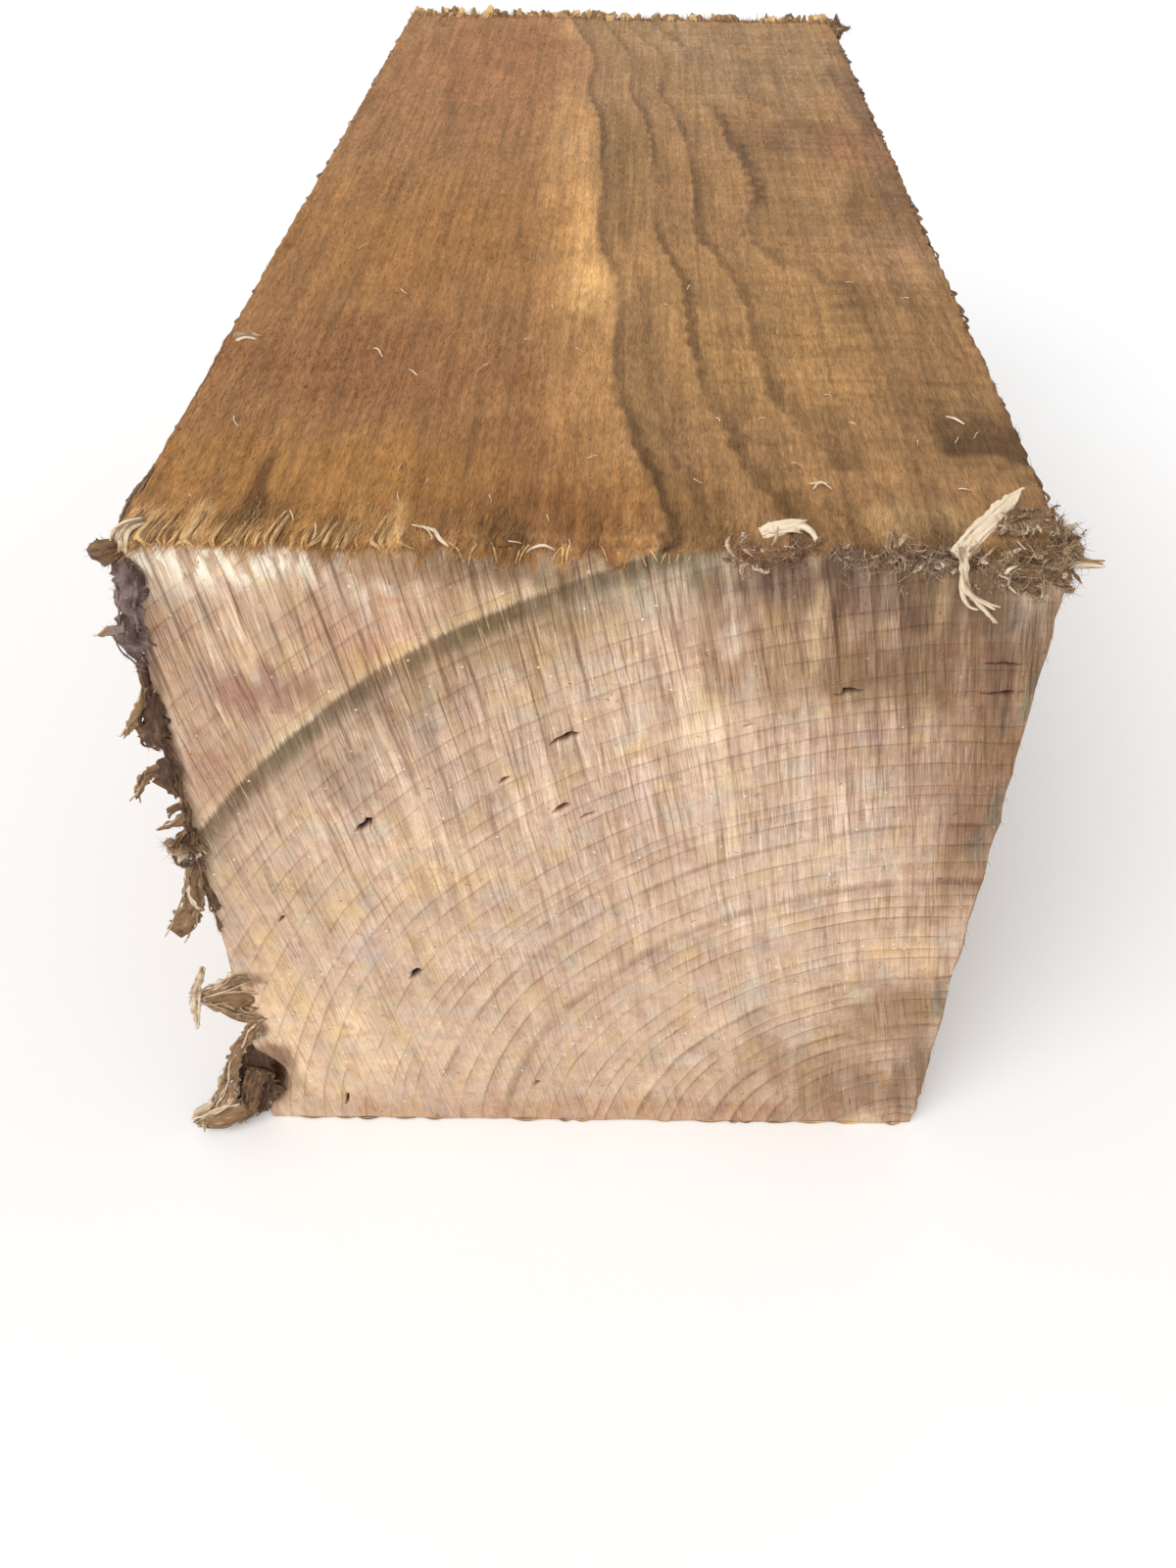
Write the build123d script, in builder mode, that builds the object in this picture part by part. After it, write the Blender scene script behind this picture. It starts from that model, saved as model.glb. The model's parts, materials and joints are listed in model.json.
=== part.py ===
"""A short length of rough-sawn square hardwood timber, lying on one of its long faces.

The block is one piece of wood. Its near end was cross-cut slightly askew, and the saw left a
ragged lip of torn wood along the left arris, a hollow where a strip was pulled out of the
bottom left corner and a scooped arris at the top right. Small drying checks open along the
growth rings of that end. The far end is a plain square cut.

Frame: +Z up, +Y along the grain away from the near end, origin at the centre of the base.
"""

import os
from math import atan2, degrees

from build123d import *

# Sawn size, in millimetres. The top was sawn a little out of parallel with the base.
width = 100.0
height_left = 104.3
height_right = 103.1
length = 236.5
near_skew = 1.9  # how much further the left side of the near cut stands out
arris_radius = 0.8  # wear on the four long arrises
overrun = 5.0  # how far a cut runs past what it cuts

# Torn lip on the left arris of the near end: a narrow ribbon with tongues hanging from it
lip_thickness = 1.2
lip_root = 1.5  # how far the lip's roots are buried in the block
ribbon_reach = 0.9  # how far the ribbon stands out from the left face
ribbon_bottom_share = 0.52  # of the left height
ribbon_top_share = 0.985
tongue_reach = 7.0  # the longest tongue, measured out from the left face
heel_share = 0.33  # place of a tongue's heel, as a share of the way from its tip to its root
heel_rise_share = 0.08  # height of the heel, as a share of the way from the tip to the root's top
edge_bow_share = 0.02  # hollow of a tongue's upper edge, as a share of its length
belly_bow_share = 0.2  # fullness of its lower edge

# Each tongue: top of its root, bottom of its root and tip, as shares of the left height, then
# its reach as a share of the longest one's.
tongue_shares = (
    (0.990, 0.955, 0.968, 0.33),
    (0.918, 0.840, 0.879, 0.61),
    (0.800, 0.711, 0.736, 0.71),
    (0.700, 0.645, 0.640, 0.81),
    (0.632, 0.590, 0.595, 0.60),
    (0.585, 0.527, 0.550, 0.47),
    (0.527, 0.453, 0.400, 0.85),
    (0.312, 0.205, 0.274, 0.76),
    (0.195, 0.115, 0.010, 1.00),
)

# Splinter that hangs across the tip of one tongue
splinter_tongue = 7  # its row in tongue_shares, counted from zero
splinter_length = 12.8
splinter_width = 1.3
splinter_lean = -13.5  # degrees off upright

# Hollow at the bottom left corner of the near end, where a strip was pulled out
hollow_radius = 7.0
hollow_standoff = 3.0  # how far its centre stands off the left face and the near cut
hollow_height_share = 0.082

# Scooped arris at the top of the near end, widening towards the right corner
scoop_start_share = 0.15  # where it begins, as a share of the width from the middle
scoop_start_radius = 0.4
scoop_end_radius = 3.2

# Pith of the log, just outside the bottom right corner, which the growth rings go round
pith_x_share = 0.45  # of the width, from the middle
pith_z_share = -0.08  # of the left height, from the base

# Drying checks along the rings: place across the width from the middle and up the left height,
# as shares, then length as a share of the longest check
check_length = 4.0
check_width_share = 0.2
check_depth = 5.0
check_shares = (
    (-0.032, 0.744, 0.80),
    (-0.105, 0.682, 0.35),
    (-0.038, 0.637, 0.60),
    (-0.005, 0.627, 0.40),
    (-0.283, 0.608, 0.85),
    (-0.245, 0.334, 1.00),
    (0.290, 0.812, 0.75),
    (0.455, 0.853, 0.95),
    (0.458, 0.819, 0.75),
    (-0.080, 0.093, 0.40),
    (-0.375, 0.049, 0.90),
    (-0.412, 0.442, 0.40),
)

skew_slope = near_skew / width
top_slope = (height_right - height_left) / width
height_middle = (height_left + height_right) / 2
near_y = -length / 2

# Plane of the near cut, facing out of the block, with its Y axis upright
near_cut = Plane(origin=(0, near_y, 0), x_dir=(1, skew_slope, 0), z_dir=(skew_slope, -1, 0))


def near_arris(x):
    """Point of the near end's top arris at a place across the width."""
    return Vector(x, near_y + skew_slope * x, height_middle + top_slope * x)


def bowed_edge(start, end, bow_share):
    """Torn edge from one point to another, bowed to its left by a share of its length."""
    run = end - start
    bow = Vector(-run.Y, run.X) * bow_share
    return ThreePointArc(start, (start + end) / 2 + bow, end)


def tongue_points(top_share, bottom_share, tip_share, reach_share):
    """Top of root, tip, heel and bottom of root of one tongue, in the plane of the near cut."""
    root_x = lip_root - width / 2
    root_top = Vector(root_x, top_share * height_left)
    root_bottom = Vector(root_x, bottom_share * height_left)
    tip = Vector(-width / 2 - tongue_reach * reach_share, tip_share * height_left)
    heel_x = tip.X + heel_share * (root_x - tip.X)
    heel_z = tip.Y + heel_rise_share * (root_top.Y - tip.Y)
    heel = Vector(heel_x, heel_z)
    return root_top, tip, heel, root_bottom


with BuildPart() as timber_block:
    # Sawn prism, with the near end left long for its cut
    with BuildSketch(Plane.XZ.offset(-length / 2)) as section:
        with BuildLine():
            Polyline(
                (-width / 2, 0),
                (width / 2, 0),
                (width / 2, height_right),
                (-width / 2, height_left),
                close=True,
            )
        make_face()
        fillet(section.vertices(), arris_radius)
    extrude(amount=length + near_skew + overrun)
    split(bisect_by=near_cut, keep=Keep.BOTTOM)

    # Hollow and scooped arris torn out of the near end
    hollow_centre = Vector(
        -width / 2 - hollow_standoff,
        near_y - near_skew / 2 - hollow_standoff,
        hollow_height_share * height_left,
    )
    with Locations(hollow_centre):
        Sphere(hollow_radius, mode=Mode.SUBTRACT)
    scoop_start = near_arris(scoop_start_share * width)
    scoop_end = near_arris(width / 2 + overrun)
    scoop_run = scoop_end - scoop_start
    with Locations(Plane(origin=scoop_start, z_dir=scoop_run)):
        Cone(
            scoop_start_radius,
            scoop_end_radius,
            scoop_run.length,
            align=(Align.CENTER, Align.CENTER, Align.MIN),
            mode=Mode.SUBTRACT,
        )

    # Torn lip standing out of the left face in the plane of the cut
    with BuildSketch(near_cut) as lip:
        ribbon_height = (ribbon_top_share - ribbon_bottom_share) * height_left
        with Locations((lip_root - width / 2, ribbon_bottom_share * height_left)):
            Rectangle(lip_root + ribbon_reach, ribbon_height, align=(Align.MAX, Align.MIN))
        for row in tongue_shares:
            root_top, tip, heel, root_bottom = tongue_points(*row)
            with BuildLine():
                Line(root_top, root_bottom)
                bowed_edge(heel, root_bottom, -belly_bow_share)
                Line(heel, tip)
                bowed_edge(tip, root_top, -edge_bow_share)
            make_face()
        with Locations(tongue_points(*tongue_shares[splinter_tongue])[1]):
            Rectangle(splinter_width, splinter_length, rotation=splinter_lean)
    extrude(amount=-lip_thickness)

    # Drying checks: slits with pointed ends that follow the rings round the pith
    with BuildSketch(near_cut) as checks:
        for x_share, z_share, length_share in check_shares:
            centre = Vector(x_share * width, z_share * height_left)
            from_pith = centre - Vector(pith_x_share * width, pith_z_share * height_left)
            half_length = check_length * length_share / 2
            along = Vector(from_pith.Y, -from_pith.X).normalized() * half_length
            across = from_pith.normalized() * half_length * check_width_share
            with BuildLine():
                ThreePointArc(centre - along, centre + across, centre + along)
                ThreePointArc(centre + along, centre - across, centre - along)
            make_face()
    extrude(amount=-check_depth, mode=Mode.SUBTRACT)

timber_block.part.label = "timber_block"

os.makedirs("parts", exist_ok=True)
export_step(timber_block.part, "parts/timber_block.step")

print("top face tilt, degrees:", round(degrees(atan2(-top_slope, 1)), 3))
print("solids:", len(timber_block.part.solids()))
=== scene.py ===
"""Rough-sawn timber block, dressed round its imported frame.

The block gets sawn faces with real relief, growth rings that run through the wood, the torn lip
and splinters of its near end, and the woolly fibres that a coarse saw leaves on every face.
Sizes inside the script are in millimetres; MM turns them into metres.
"""

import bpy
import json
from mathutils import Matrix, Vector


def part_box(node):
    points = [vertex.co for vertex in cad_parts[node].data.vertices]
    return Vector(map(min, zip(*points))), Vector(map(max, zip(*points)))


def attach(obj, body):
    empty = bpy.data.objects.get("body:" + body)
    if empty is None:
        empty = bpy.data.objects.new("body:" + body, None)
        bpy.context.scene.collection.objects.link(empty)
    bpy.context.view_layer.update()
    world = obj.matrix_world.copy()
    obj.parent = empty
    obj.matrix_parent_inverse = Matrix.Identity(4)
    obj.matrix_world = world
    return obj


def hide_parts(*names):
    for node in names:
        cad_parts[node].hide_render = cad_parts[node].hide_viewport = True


bl_info = {
    "name": "Rough-Sawn Timber Block",
    "version": (1, 0, 0),
    "blender": (4, 5, 0),
    "location": "View3D > Sidebar > Timber",
    "description": "Builds a rough-sawn timber block with torn arrises and woolly fibres",
    "category": "Object",
}

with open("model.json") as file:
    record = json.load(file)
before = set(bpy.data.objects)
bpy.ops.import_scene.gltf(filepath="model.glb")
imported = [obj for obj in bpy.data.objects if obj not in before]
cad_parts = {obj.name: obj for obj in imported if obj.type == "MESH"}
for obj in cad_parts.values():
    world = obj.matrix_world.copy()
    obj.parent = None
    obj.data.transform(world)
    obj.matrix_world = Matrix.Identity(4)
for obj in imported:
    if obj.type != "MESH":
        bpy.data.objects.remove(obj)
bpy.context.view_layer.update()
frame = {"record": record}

import itertools
import json
import math

import bmesh
import bpy
import numpy as np
from mathutils import Vector

MM = 0.001
NODE = "timber_block"

# Sawn size, read from the frame
LOW, HIGH = (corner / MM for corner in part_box(NODE))
HALF_WIDTH = HIGH.x
FAR_Y = HIGH.y
LENGTH = 2 * FAR_Y
NEAR_SLOPE = (LOW.y + FAR_Y) / LOW.x
TOP_FACE = next(m for m in frame["record"]["mounts"] if m["name"] == "top_face")
TOP_MIDDLE = TOP_FACE["pos_m"][2] / MM
TOP_SLOPE = -TOP_FACE["axis"][0] / TOP_FACE["axis"][2]
HEIGHT = TOP_MIDDLE - TOP_SLOPE * HALF_WIDTH

# Pith of the log, outside the bottom right corner of the near end
PITH_X = 44.6
PITH_Z = -8.7
BAND_RADIUS = 118.0  # dark ring at the edge of the heartwood

# Saw marks
RIPPLE_PITCH = 4.7  # saw ripple along the grain
RIDGE_LEAN = 0.21  # lean of the saw ridges in the end's relief
SCORE_LEAN = 0.19  # lean of the saw scores in its colour
WOOL_SPLIT = -62.0  # place along the top where its wool turns from dense and bent to plain

# How far down the near end the torn top rolls over the arris: place across, reach
ARRIS_ROLL = ((-50, 1.1), (-30, 1.2), (-20, 1.7), (-10, 2.2), (2, 2.1), (8, 1.6), (14, 0.3), (50, 0.2))
ROLL_SHARE = 0.8  # share of that reach that goes into the radius of the roll
ROLL_FRAY = 0.3  # half-width of the ragged border between the rolled top and the end grain

# Scoop of the top arris, which widens to the right, and hollow of the bottom left corner
SCOOP_START = 15.0
SCOOP_END = 55.0
SCOOP_RADII = (0.4, 3.2)
HOLLOW_STANDOFF = 3.0
HOLLOW_HEIGHT = 9.5
HOLLOW_RIM = 1.4  # how softly the hollow turns into the faces round it

# Drying checks of the near end: place across and up, length and width
CHECKS = (
    (-3.2, 77.6, 4.2, 1.15),
    (-10.5, 71.1, 2.0, 0.40),
    (-3.8, 66.4, 3.0, 0.95),
    (-0.5, 65.4, 2.4, 0.40),
    (-28.3, 63.4, 3.6, 1.30),
    (-24.5, 34.8, 3.2, 1.45),
    (29.0, 84.7, 3.6, 0.45),
    (45.5, 89.0, 4.8, 0.25),
    (46.4, 84.8, 5.6, 0.45),
    (-8.0, 9.7, 1.5, 0.80),
    (-37.5, 5.1, 3.4, 0.60),
    (-41.2, 46.1, 1.7, 0.40),
    (18.0, 79.9, 1.2, 0.30),
)

# Stains and painted shade of the near end: middle (across, up), half-size (across, up), colour and strength
END_STAINS_AND_SHADE = (
    ((-36, 93), (5, 8), (232, 200, 170), 0.7),
    ((-47, 90), (5, 14), (194, 158, 126), 0.6),
    ((-24, 92), (9, 8), (212, 166, 138), 0.6),
    ((-38, 84), (8, 4), (172, 128, 110), 0.85),
    ((-22, 88), (7, 3), (222, 176, 128), 0.5),
    ((-45, 74), (5, 8), (178, 130, 110), 0.6),
    ((-6, 92), (12, 6), (204, 168, 130), 0.7),
    ((-20, 82), (11, 7), (184, 152, 126), 0.7),
    ((-19.5, 79), (3, 2), (168, 148, 132), 0.5),
    ((-30, 70), (3.5, 5), (174, 150, 130), 0.5),
    ((8, 99.2), (8, 5), (228, 206, 180), 0.9),
    ((10, 89), (7, 4), (224, 188, 158), 0.6),
    ((20, 98), (4, 5), (132, 104, 84), 0.7),
    ((21, 97.4), (1.5, 1.9), (200, 186, 164), 0.9),
    # Dark stain with painted shade under the hanging felt of the right top arris
    ((34, 98.5), (14, 4.5), (116, 90, 70), 0.9),
    ((20, 89), (10, 8), (168, 130, 96), 0.8),
    ((39, 88), (13, 9), (138, 106, 78), 0.95),
    ((13, 79), (6, 4), (238, 206, 176), 0.7),
    ((31, 77), (7, 4), (190, 152, 132), 0.6),
    ((45, 70), (8, 15), (164, 126, 98), 0.85),
    ((46, 52), (6, 9), (188, 152, 124), 0.6),
    ((3, 68), (6, 5), (216, 182, 166), 0.6),
    ((24, 62), (20, 12), (226, 196, 172), 0.5),
    ((-38, 48), (7, 6), (228, 192, 148), 0.45),
    ((-44, 34), (6, 9), (234, 196, 150), 0.7),
    ((-31, 40), (4, 5), (206, 178, 162), 0.5),
    ((-17, 55), (6, 3.5), (228, 190, 148), 0.45),
    ((-6, 41), (6, 6), (208, 182, 162), 0.5),
    ((-38, 17), (12, 14), (248, 214, 178), 0.75),
    ((43, 40), (5, 4), (240, 200, 160), 0.6),
    ((43, 27), (9, 9), (168, 132, 102), 0.9),
    ((22.5, 30), (3, 7), (208, 190, 170), 0.6),
    ((37.5, 31.6), (1.8, 1.8), (206, 194, 174), 0.8),
    ((34, 12), (16, 12), (178, 142, 112), 0.8),
    ((48, 12), (3.5, 7), (134, 112, 88), 0.85),
    ((13.5, 16), (2.5, 1.4), (232, 214, 196), 0.6),
    ((0, 2), (60, 4), (202, 160, 130), 0.6),
    ((-24, 54), (9, 9), (236, 200, 166), 0.5),
    ((24, 52), (10, 9), (234, 204, 178), 0.5),
    # Painted shade of the lip's burrs along the left edge
    ((-50, 80), (1.6, 30), (96, 70, 60), 0.7),
    # Painted shade round the rim of the bottom left hollow
    ((-50, 9), (4.5, 9), (130, 98, 70), 0.6),
    ((-38, 100.6), (12, 3.6), (240, 214, 188), 0.9),
    ((-22, 101), (8, 3), (176, 138, 106), 0.8),
    ((-6, 101), (9, 3), (150, 122, 92), 0.85),
    # Painted shade under the hanging felt and the corner clump, with dark stain
    ((35.6, 96.2), (2.1, 2.6), (102, 78, 62), 0.8),
    ((44.6, 95.6), (2.4, 3.4), (116, 92, 76), 0.8),
    ((31, 99.6), (13, 3.6), (114, 86, 70), 0.85),
    ((47.5, 72), (4, 20), (142, 106, 78), 0.7),
    ((40, 99.5), (8, 3), (136, 106, 80), 0.8),
    # Painted shade along the right edge of the near end
    ((48.6, 93), (3.4, 11), (124, 96, 76), 0.85),
    ((40, 8), (10, 8), (156, 122, 94), 0.7),
    ((-46.8, 94), (3.2, 4), (188, 156, 136), 0.7),
    ((-47.4, 33.4), (2.4, 2.2), (128, 94, 68), 0.8),
    ((-48.2, 22.6), (1.5, 2.2), (106, 76, 54), 0.85),
    ((-48, 15.6), (2.8, 3.0), (124, 90, 62), 0.8),
    ((24.4, 92.5), (0.9, 7), (206, 174, 134), 0.7),
    ((37.2, 96.6), (0.7, 4.5), (190, 158, 118), 0.6),
    ((15.4, 91.6), (1.5, 2.8), (238, 212, 186), 0.8),
    ((49.3, 67), (1.0, 3.5), (122, 112, 92), 0.8),
    ((48.2, 61), (1.6, 3.0), (128, 116, 96), 0.7),
    ((49.4, 84), (1.0, 4.0), (126, 116, 90), 0.7),
    ((48.8, 30), (1.0, 4.5), (140, 132, 116), 0.6),
)

# Stains and painted shade of the top: middle (across, along), half-size (across, along), colour and strength
TOP_STAINS_AND_SHADE = (
    ((0, 118), (90, 100), (176, 140, 104), 0.6),
    ((-28, 78), (18, 50), (170, 120, 84), 0.6),
    ((-28, -30), (24, 26), (174, 126, 72), 0.6),
    ((-29, -77), (20, 15), (150, 106, 70), 0.7),
    ((-30, -106), (22, 11), (178, 132, 72), 0.7),
    # Painted shade of a narrow groove, with no groove cut in the relief
    ((-36.2, -113), (1.0, 4.5), (84, 58, 36), 0.9),
    ((-36.9, -107), (0.9, 8), (108, 76, 44), 0.9),
    ((-21, -115), (1.1, 5), (222, 184, 126), 0.9),
    ((-42, -115), (1.2, 5), (226, 190, 136), 0.9),
    ((-47.5, -115), (2, 3), (224, 186, 138), 0.7),
    ((-7, -95), (9, 12), (150, 108, 66), 0.6),
    ((3, 12), (7, 28), (150, 116, 76), 0.6),
    ((14, 98), (10, 22), (182, 150, 112), 0.6),
    ((34, 76), (16, 40), (160, 128, 94), 0.6),
    ((34, 27), (18, 9), (140, 104, 72), 0.7),
    ((48, 40), (4, 60), (126, 96, 74), 0.7),
    ((42, -29), (8, 14), (184, 142, 106), 0.6),
    ((45, -91), (10, 20), (132, 98, 66), 0.3),
    ((49, -94), (5, 15), (124, 92, 62), 0.35),
    ((44, 20), (6, 12), (176, 124, 88), 0.5),
    ((20, -66), (18, 22), (176, 134, 84), 0.5),
    ((6, -108), (14, 6), (150, 108, 62), 0.6),
    ((33, -112), (6, 4), (196, 160, 112), 0.7),
    ((-8, -112), (10, 6), (132, 92, 52), 0.7),
    ((24, -111), (6, 5), (142, 104, 64), 0.6),
    ((8, -45), (22, 18), (184, 140, 92), 0.5),
    ((22, -72), (10, 14), (188, 144, 92), 0.5),
    ((-8, 75), (8, 18), (160, 122, 86), 0.5),
    ((24, 75), (8, 18), (150, 118, 88), 0.5),
    ((-7.7, -117), (0.8, 3.4), (104, 72, 44), 0.9),
    ((7.6, -117), (0.8, 2.2), (96, 68, 44), 0.9),
    ((0.5, -118.4), (1.6, 1.2), (112, 76, 50), 0.8),
    ((-3.8, -32), (2.4, 24), (200, 158, 106), 0.4),
    ((-2.4, -50), (2.8, 13), (212, 172, 116), 0.4),
    ((-1.6, -70), (1.6, 11), (196, 152, 98), 0.5),
)


def srgb(red, green, blue):
    """Linear colour of an sRGB colour written in 0 to 255."""
    def linear(value):
        value /= 255
        return value / 12.92 if value <= 0.04045 else ((value + 0.055) / 1.055) ** 2.4
    return (linear(red), linear(green), linear(blue))


def rgba(colour):
    """The same colour with a full alpha, as node sockets take it."""
    return (*tuple(colour)[:3], 1.0)


def dye(red, green, blue):
    """Socket colour of an sRGB colour written in 0 to 255."""
    return rgba(srgb(red, green, blue))


# Settings

def wood_colour(name, description, *shade):
    """Colour setting with its default in sRGB."""
    return bpy.props.FloatVectorProperty(
        name=name, description=description, subtype="COLOR", default=srgb(*shade), min=0, max=1)


def wood_size(name, description, millimetres):
    """Length setting in metres with its default in millimetres."""
    return bpy.props.FloatProperty(
        name=name, description=description, default=millimetres * MM, min=0, unit="LENGTH")


class TimberColours(bpy.types.PropertyGroup):
    """Colours of the wood."""
    heart: wood_colour("Heartwood", "Sawn face inside the dark ring", 164, 124, 82)
    outer: wood_colour("Outer wood", "Sawn face outside the dark ring", 160, 116, 74)
    golden: wood_colour("Golden stripe", "Bright stripe beside the dark ring", 204, 154, 100)
    ring: wood_colour("Dark ring", "Dark ring at the edge of the heartwood", 108, 92, 66)
    end: wood_colour("End grain", "Cross-cut end face", 221, 189, 162)
    late: wood_colour("Late wood", "Thin dark line of each growth ring", 150, 112, 86)
    torn_dark: wood_colour("Torn wood, dark", "Weathered side of torn wood", 82, 60, 50)
    torn_brown: wood_colour("Torn wood, brown", "Torn wood between dark and fresh", 148, 116, 82)
    torn_pale: wood_colour("Torn wood, pale", "Fresh side of torn wood and its fibres", 244, 224, 196)
    fibre: wood_colour("Fresh fibres", "Loose fibres of the fresh arris", 234, 194, 134)
    felt: wood_colour("Felt", "Matted fibres of the right corner", 206, 182, 162)


class TimberSizes(bpy.types.PropertyGroup):
    """Sizes of the torn wood and its fibres."""
    check_depth: wood_size("Check depth", "How deep the drying checks open", 2.2)
    hollow_radius: wood_size("Hollow radius", "Ball that the hollow of the bottom left corner follows", 8.4)
    wool: wood_size("Wool length", "Fibres of the sawn faces", 2.0)
    fringe: wood_size("Fringe length", "Fibres of the near top arris", 3.8)
    felt: wood_size("Felt length", "Matted fibres of the right corner", 1.7)


class TimberStage(bpy.types.PropertyGroup):
    """Light and camera."""
    lens: bpy.props.FloatProperty(
        name="Lens", description="Focal length of the camera", default=30.10, unit="CAMERA")
    camera_place: bpy.props.FloatVectorProperty(
        name="Camera place", description="Where the camera stands", subtype="TRANSLATION",
        unit="LENGTH", default=(0.00315, -0.23574, 0.17588))
    camera_turn: bpy.props.FloatVectorProperty(
        name="Camera turn", description="How the camera is turned", subtype="EULER",
        default=(0.8404, -0.0006, 0.0314))
    sky: bpy.props.FloatProperty(
        name="Sky", description="Strength of the even light from all round", default=0.6, min=0)
    key: bpy.props.FloatProperty(
        name="Key", description="Strength of the wide soft lamp", default=1.9, min=0)
    key_from: bpy.props.FloatVectorProperty(
        name="Key from", description="Direction that the soft lamp shines from",
        subtype="DIRECTION", default=(-0.5, -0.8, 1.0))


# Relief helpers

def smooth(value, low, high):
    """Smooth step from 0 at low to 1 at high, which may be the smaller one."""
    share = np.clip((value - low) / (high - low), 0, 1)
    return share * share * (3 - 2 * share)


def hashed(lattice, seed):
    """Even random number between -1 and 1 for each whole-number point."""
    mixed = lattice[:, 0] * 374761393 + lattice[:, 1] * 668265263 + lattice[:, 2] * 1440662683
    mixed = mixed + seed * 974711
    mixed = (mixed ^ (mixed >> 13)) * 1274126177
    mixed = mixed ^ (mixed >> 16)
    return (mixed & 0xFFFF) / 32767.5 - 1


def grain_noise(points, cell, seed):
    """Smooth noise between -1 and 1 at points, with a cell size for each axis."""
    scaled = points / np.asarray(cell, float)
    base = np.floor(scaled).astype(np.int64)
    ease = scaled - base
    ease = ease * ease * (3 - 2 * ease)
    total = np.zeros(len(points))
    for corner in itertools.product((0, 1), repeat=3):
        weight = np.prod(np.where(corner, ease, 1 - ease), axis=1)
        total += weight * hashed(base + corner, seed)
    return total


def flat_noise(u, v, cell, seed):
    """The same noise over two places, with a cell size for each."""
    return grain_noise(np.stack((u, v, np.zeros_like(u)), axis=1), (*cell, 1), seed)


def arris_noise(place, rows, seed):
    """Uneven numbers along an arris: the sum of noises given as strength and cell."""
    return sum(
        strength * flat_noise(place, 0 * place, (cell, 1), seed + step)
        for step, (strength, cell) in enumerate(rows))


def near_y(x):
    """Y of the near cut at a place across the width."""
    return -FAR_Y + NEAR_SLOPE * x


def top_z(x):
    """Z of the top face at a place across the width."""
    return TOP_MIDDLE + TOP_SLOPE * x


def stain_and_shade_gain(u, v, lean, stains, base, seed):
    """Gain of each colour channel where stains and painted shade, ragged along a lean, lie over a base
    colour.
    """
    gain = np.ones((len(u), 3))
    leaning = u + lean * v
    ragged = 0.35 * flat_noise(u, v, (7, 9), seed) + 0.35 * flat_noise(leaning, v, (2.0, 12), seed + 1)
    ragged += 0.3 * flat_noise(leaning, v, (0.8, 8), seed + 2)
    for (middle_u, middle_v), (half_u, half_v), colour, strength in stains:
        distance = np.hypot((u - middle_u) / half_u, (v - middle_v) / half_v)
        size = min(half_u, half_v)
        soft = np.clip(size / 8, 0.15, 1)
        frayed = distance + ragged * np.clip(size / 3, 0.3, 1)
        weight = strength * smooth(frayed, 1.15 + 0.3 * soft, 0.75 - 0.45 * soft)
        gain += weight[:, None] * (np.array(srgb(*colour)) / np.array(base) - gain)
    return gain


# Mesh of the block

ACROSS, ALONG, UP = range(3)
NEAR, FAR = (ALONG, 0), (ALONG, 1)
BASE, TOP = (UP, 0), (UP, 1)
LEFT, RIGHT = (ACROSS, 0), (ACROSS, 1)
BOX = ((-HALF_WIDTH, 0.0, 0.0), (HALF_WIDTH, LENGTH, HEIGHT))
SIDES = tuple(itertools.product(range(3), (0, 1)))
ZIP_WIDTH = 0.25  # gap between the grids of two faces, closed by a strip of triangles
LONG_ARRIS = 0.8  # wear of the arrises along the grain
END_ARRIS = 0.45  # wear of the arrises of the two ends


class SawnFace:
    """Grid of vertices over one face of a plain box, with its own line spacing."""

    def __init__(self, face, lines, start):
        self.fixed, self.side = face
        self.lines = lines
        self.free = [axis for axis in range(3) if axis != self.fixed]
        shape = [len(lines[axis]) for axis in self.free]
        self.index = start + np.arange(shape[0] * shape[1]).reshape(shape)

    def points(self):
        """Places of the vertices on the box."""
        first, second = np.meshgrid(*(self.lines[axis] for axis in self.free), indexing="ij")
        points = np.empty((first.size, 3))
        points[:, self.fixed] = BOX[self.side][self.fixed]
        points[:, self.free[0]] = first.ravel()
        points[:, self.free[1]] = second.ravel()
        return points

    def quads(self):
        """Four-sided faces between the vertices."""
        index = self.index
        corners = (index[:-1, :-1], index[1:, :-1], index[1:, 1:], index[:-1, 1:])
        return np.stack([corner.ravel() for corner in corners], axis=1).tolist()

    def border(self, other):
        """Vertices along the border with another face, and their places along it."""
        pick = -1 if other.side else 0
        if other.fixed == self.free[0]:
            return self.index[pick, :], self.lines[self.free[1]]
        return self.index[:, pick], self.lines[self.free[0]]

    def corner(self, sides):
        """Vertex at one corner of the box."""
        first, second = (-1 if sides[axis] else 0 for axis in self.free)
        return self.index[first, second]


def graded_lines(axis, fine, coarse, reach):
    """Lines across the box whose spacing grows from fine at both sides to coarse within reach."""
    low = BOX[0][axis] + ZIP_WIDTH
    high = BOX[1][axis] - ZIP_WIDTH
    places = [low]
    while places[-1] < high:
        inset = min(places[-1] - low, high - places[-1])
        share = min(max(inset / reach, 0), 1)
        places.append(places[-1] + fine + (coarse - fine) * share)
    places = np.array(places)
    return low + (places - low) * (high - low) / (places[-1] - low)


def zip_borders(first, second):
    """Triangles that close the narrow gap between two borders with different spacing."""
    (a, a_place), (b, b_place) = first, second
    triangles = []
    i = j = 0
    while i < len(a) - 1 or j < len(b) - 1:
        if j == len(b) - 1 or (i < len(a) - 1 and a_place[i + 1] <= b_place[j + 1]):
            triangles.append((a[i], a[i + 1], b[j]))
            i += 1
        else:
            triangles.append((a[i], b[j + 1], b[j]))
            j += 1
    return triangles


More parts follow.
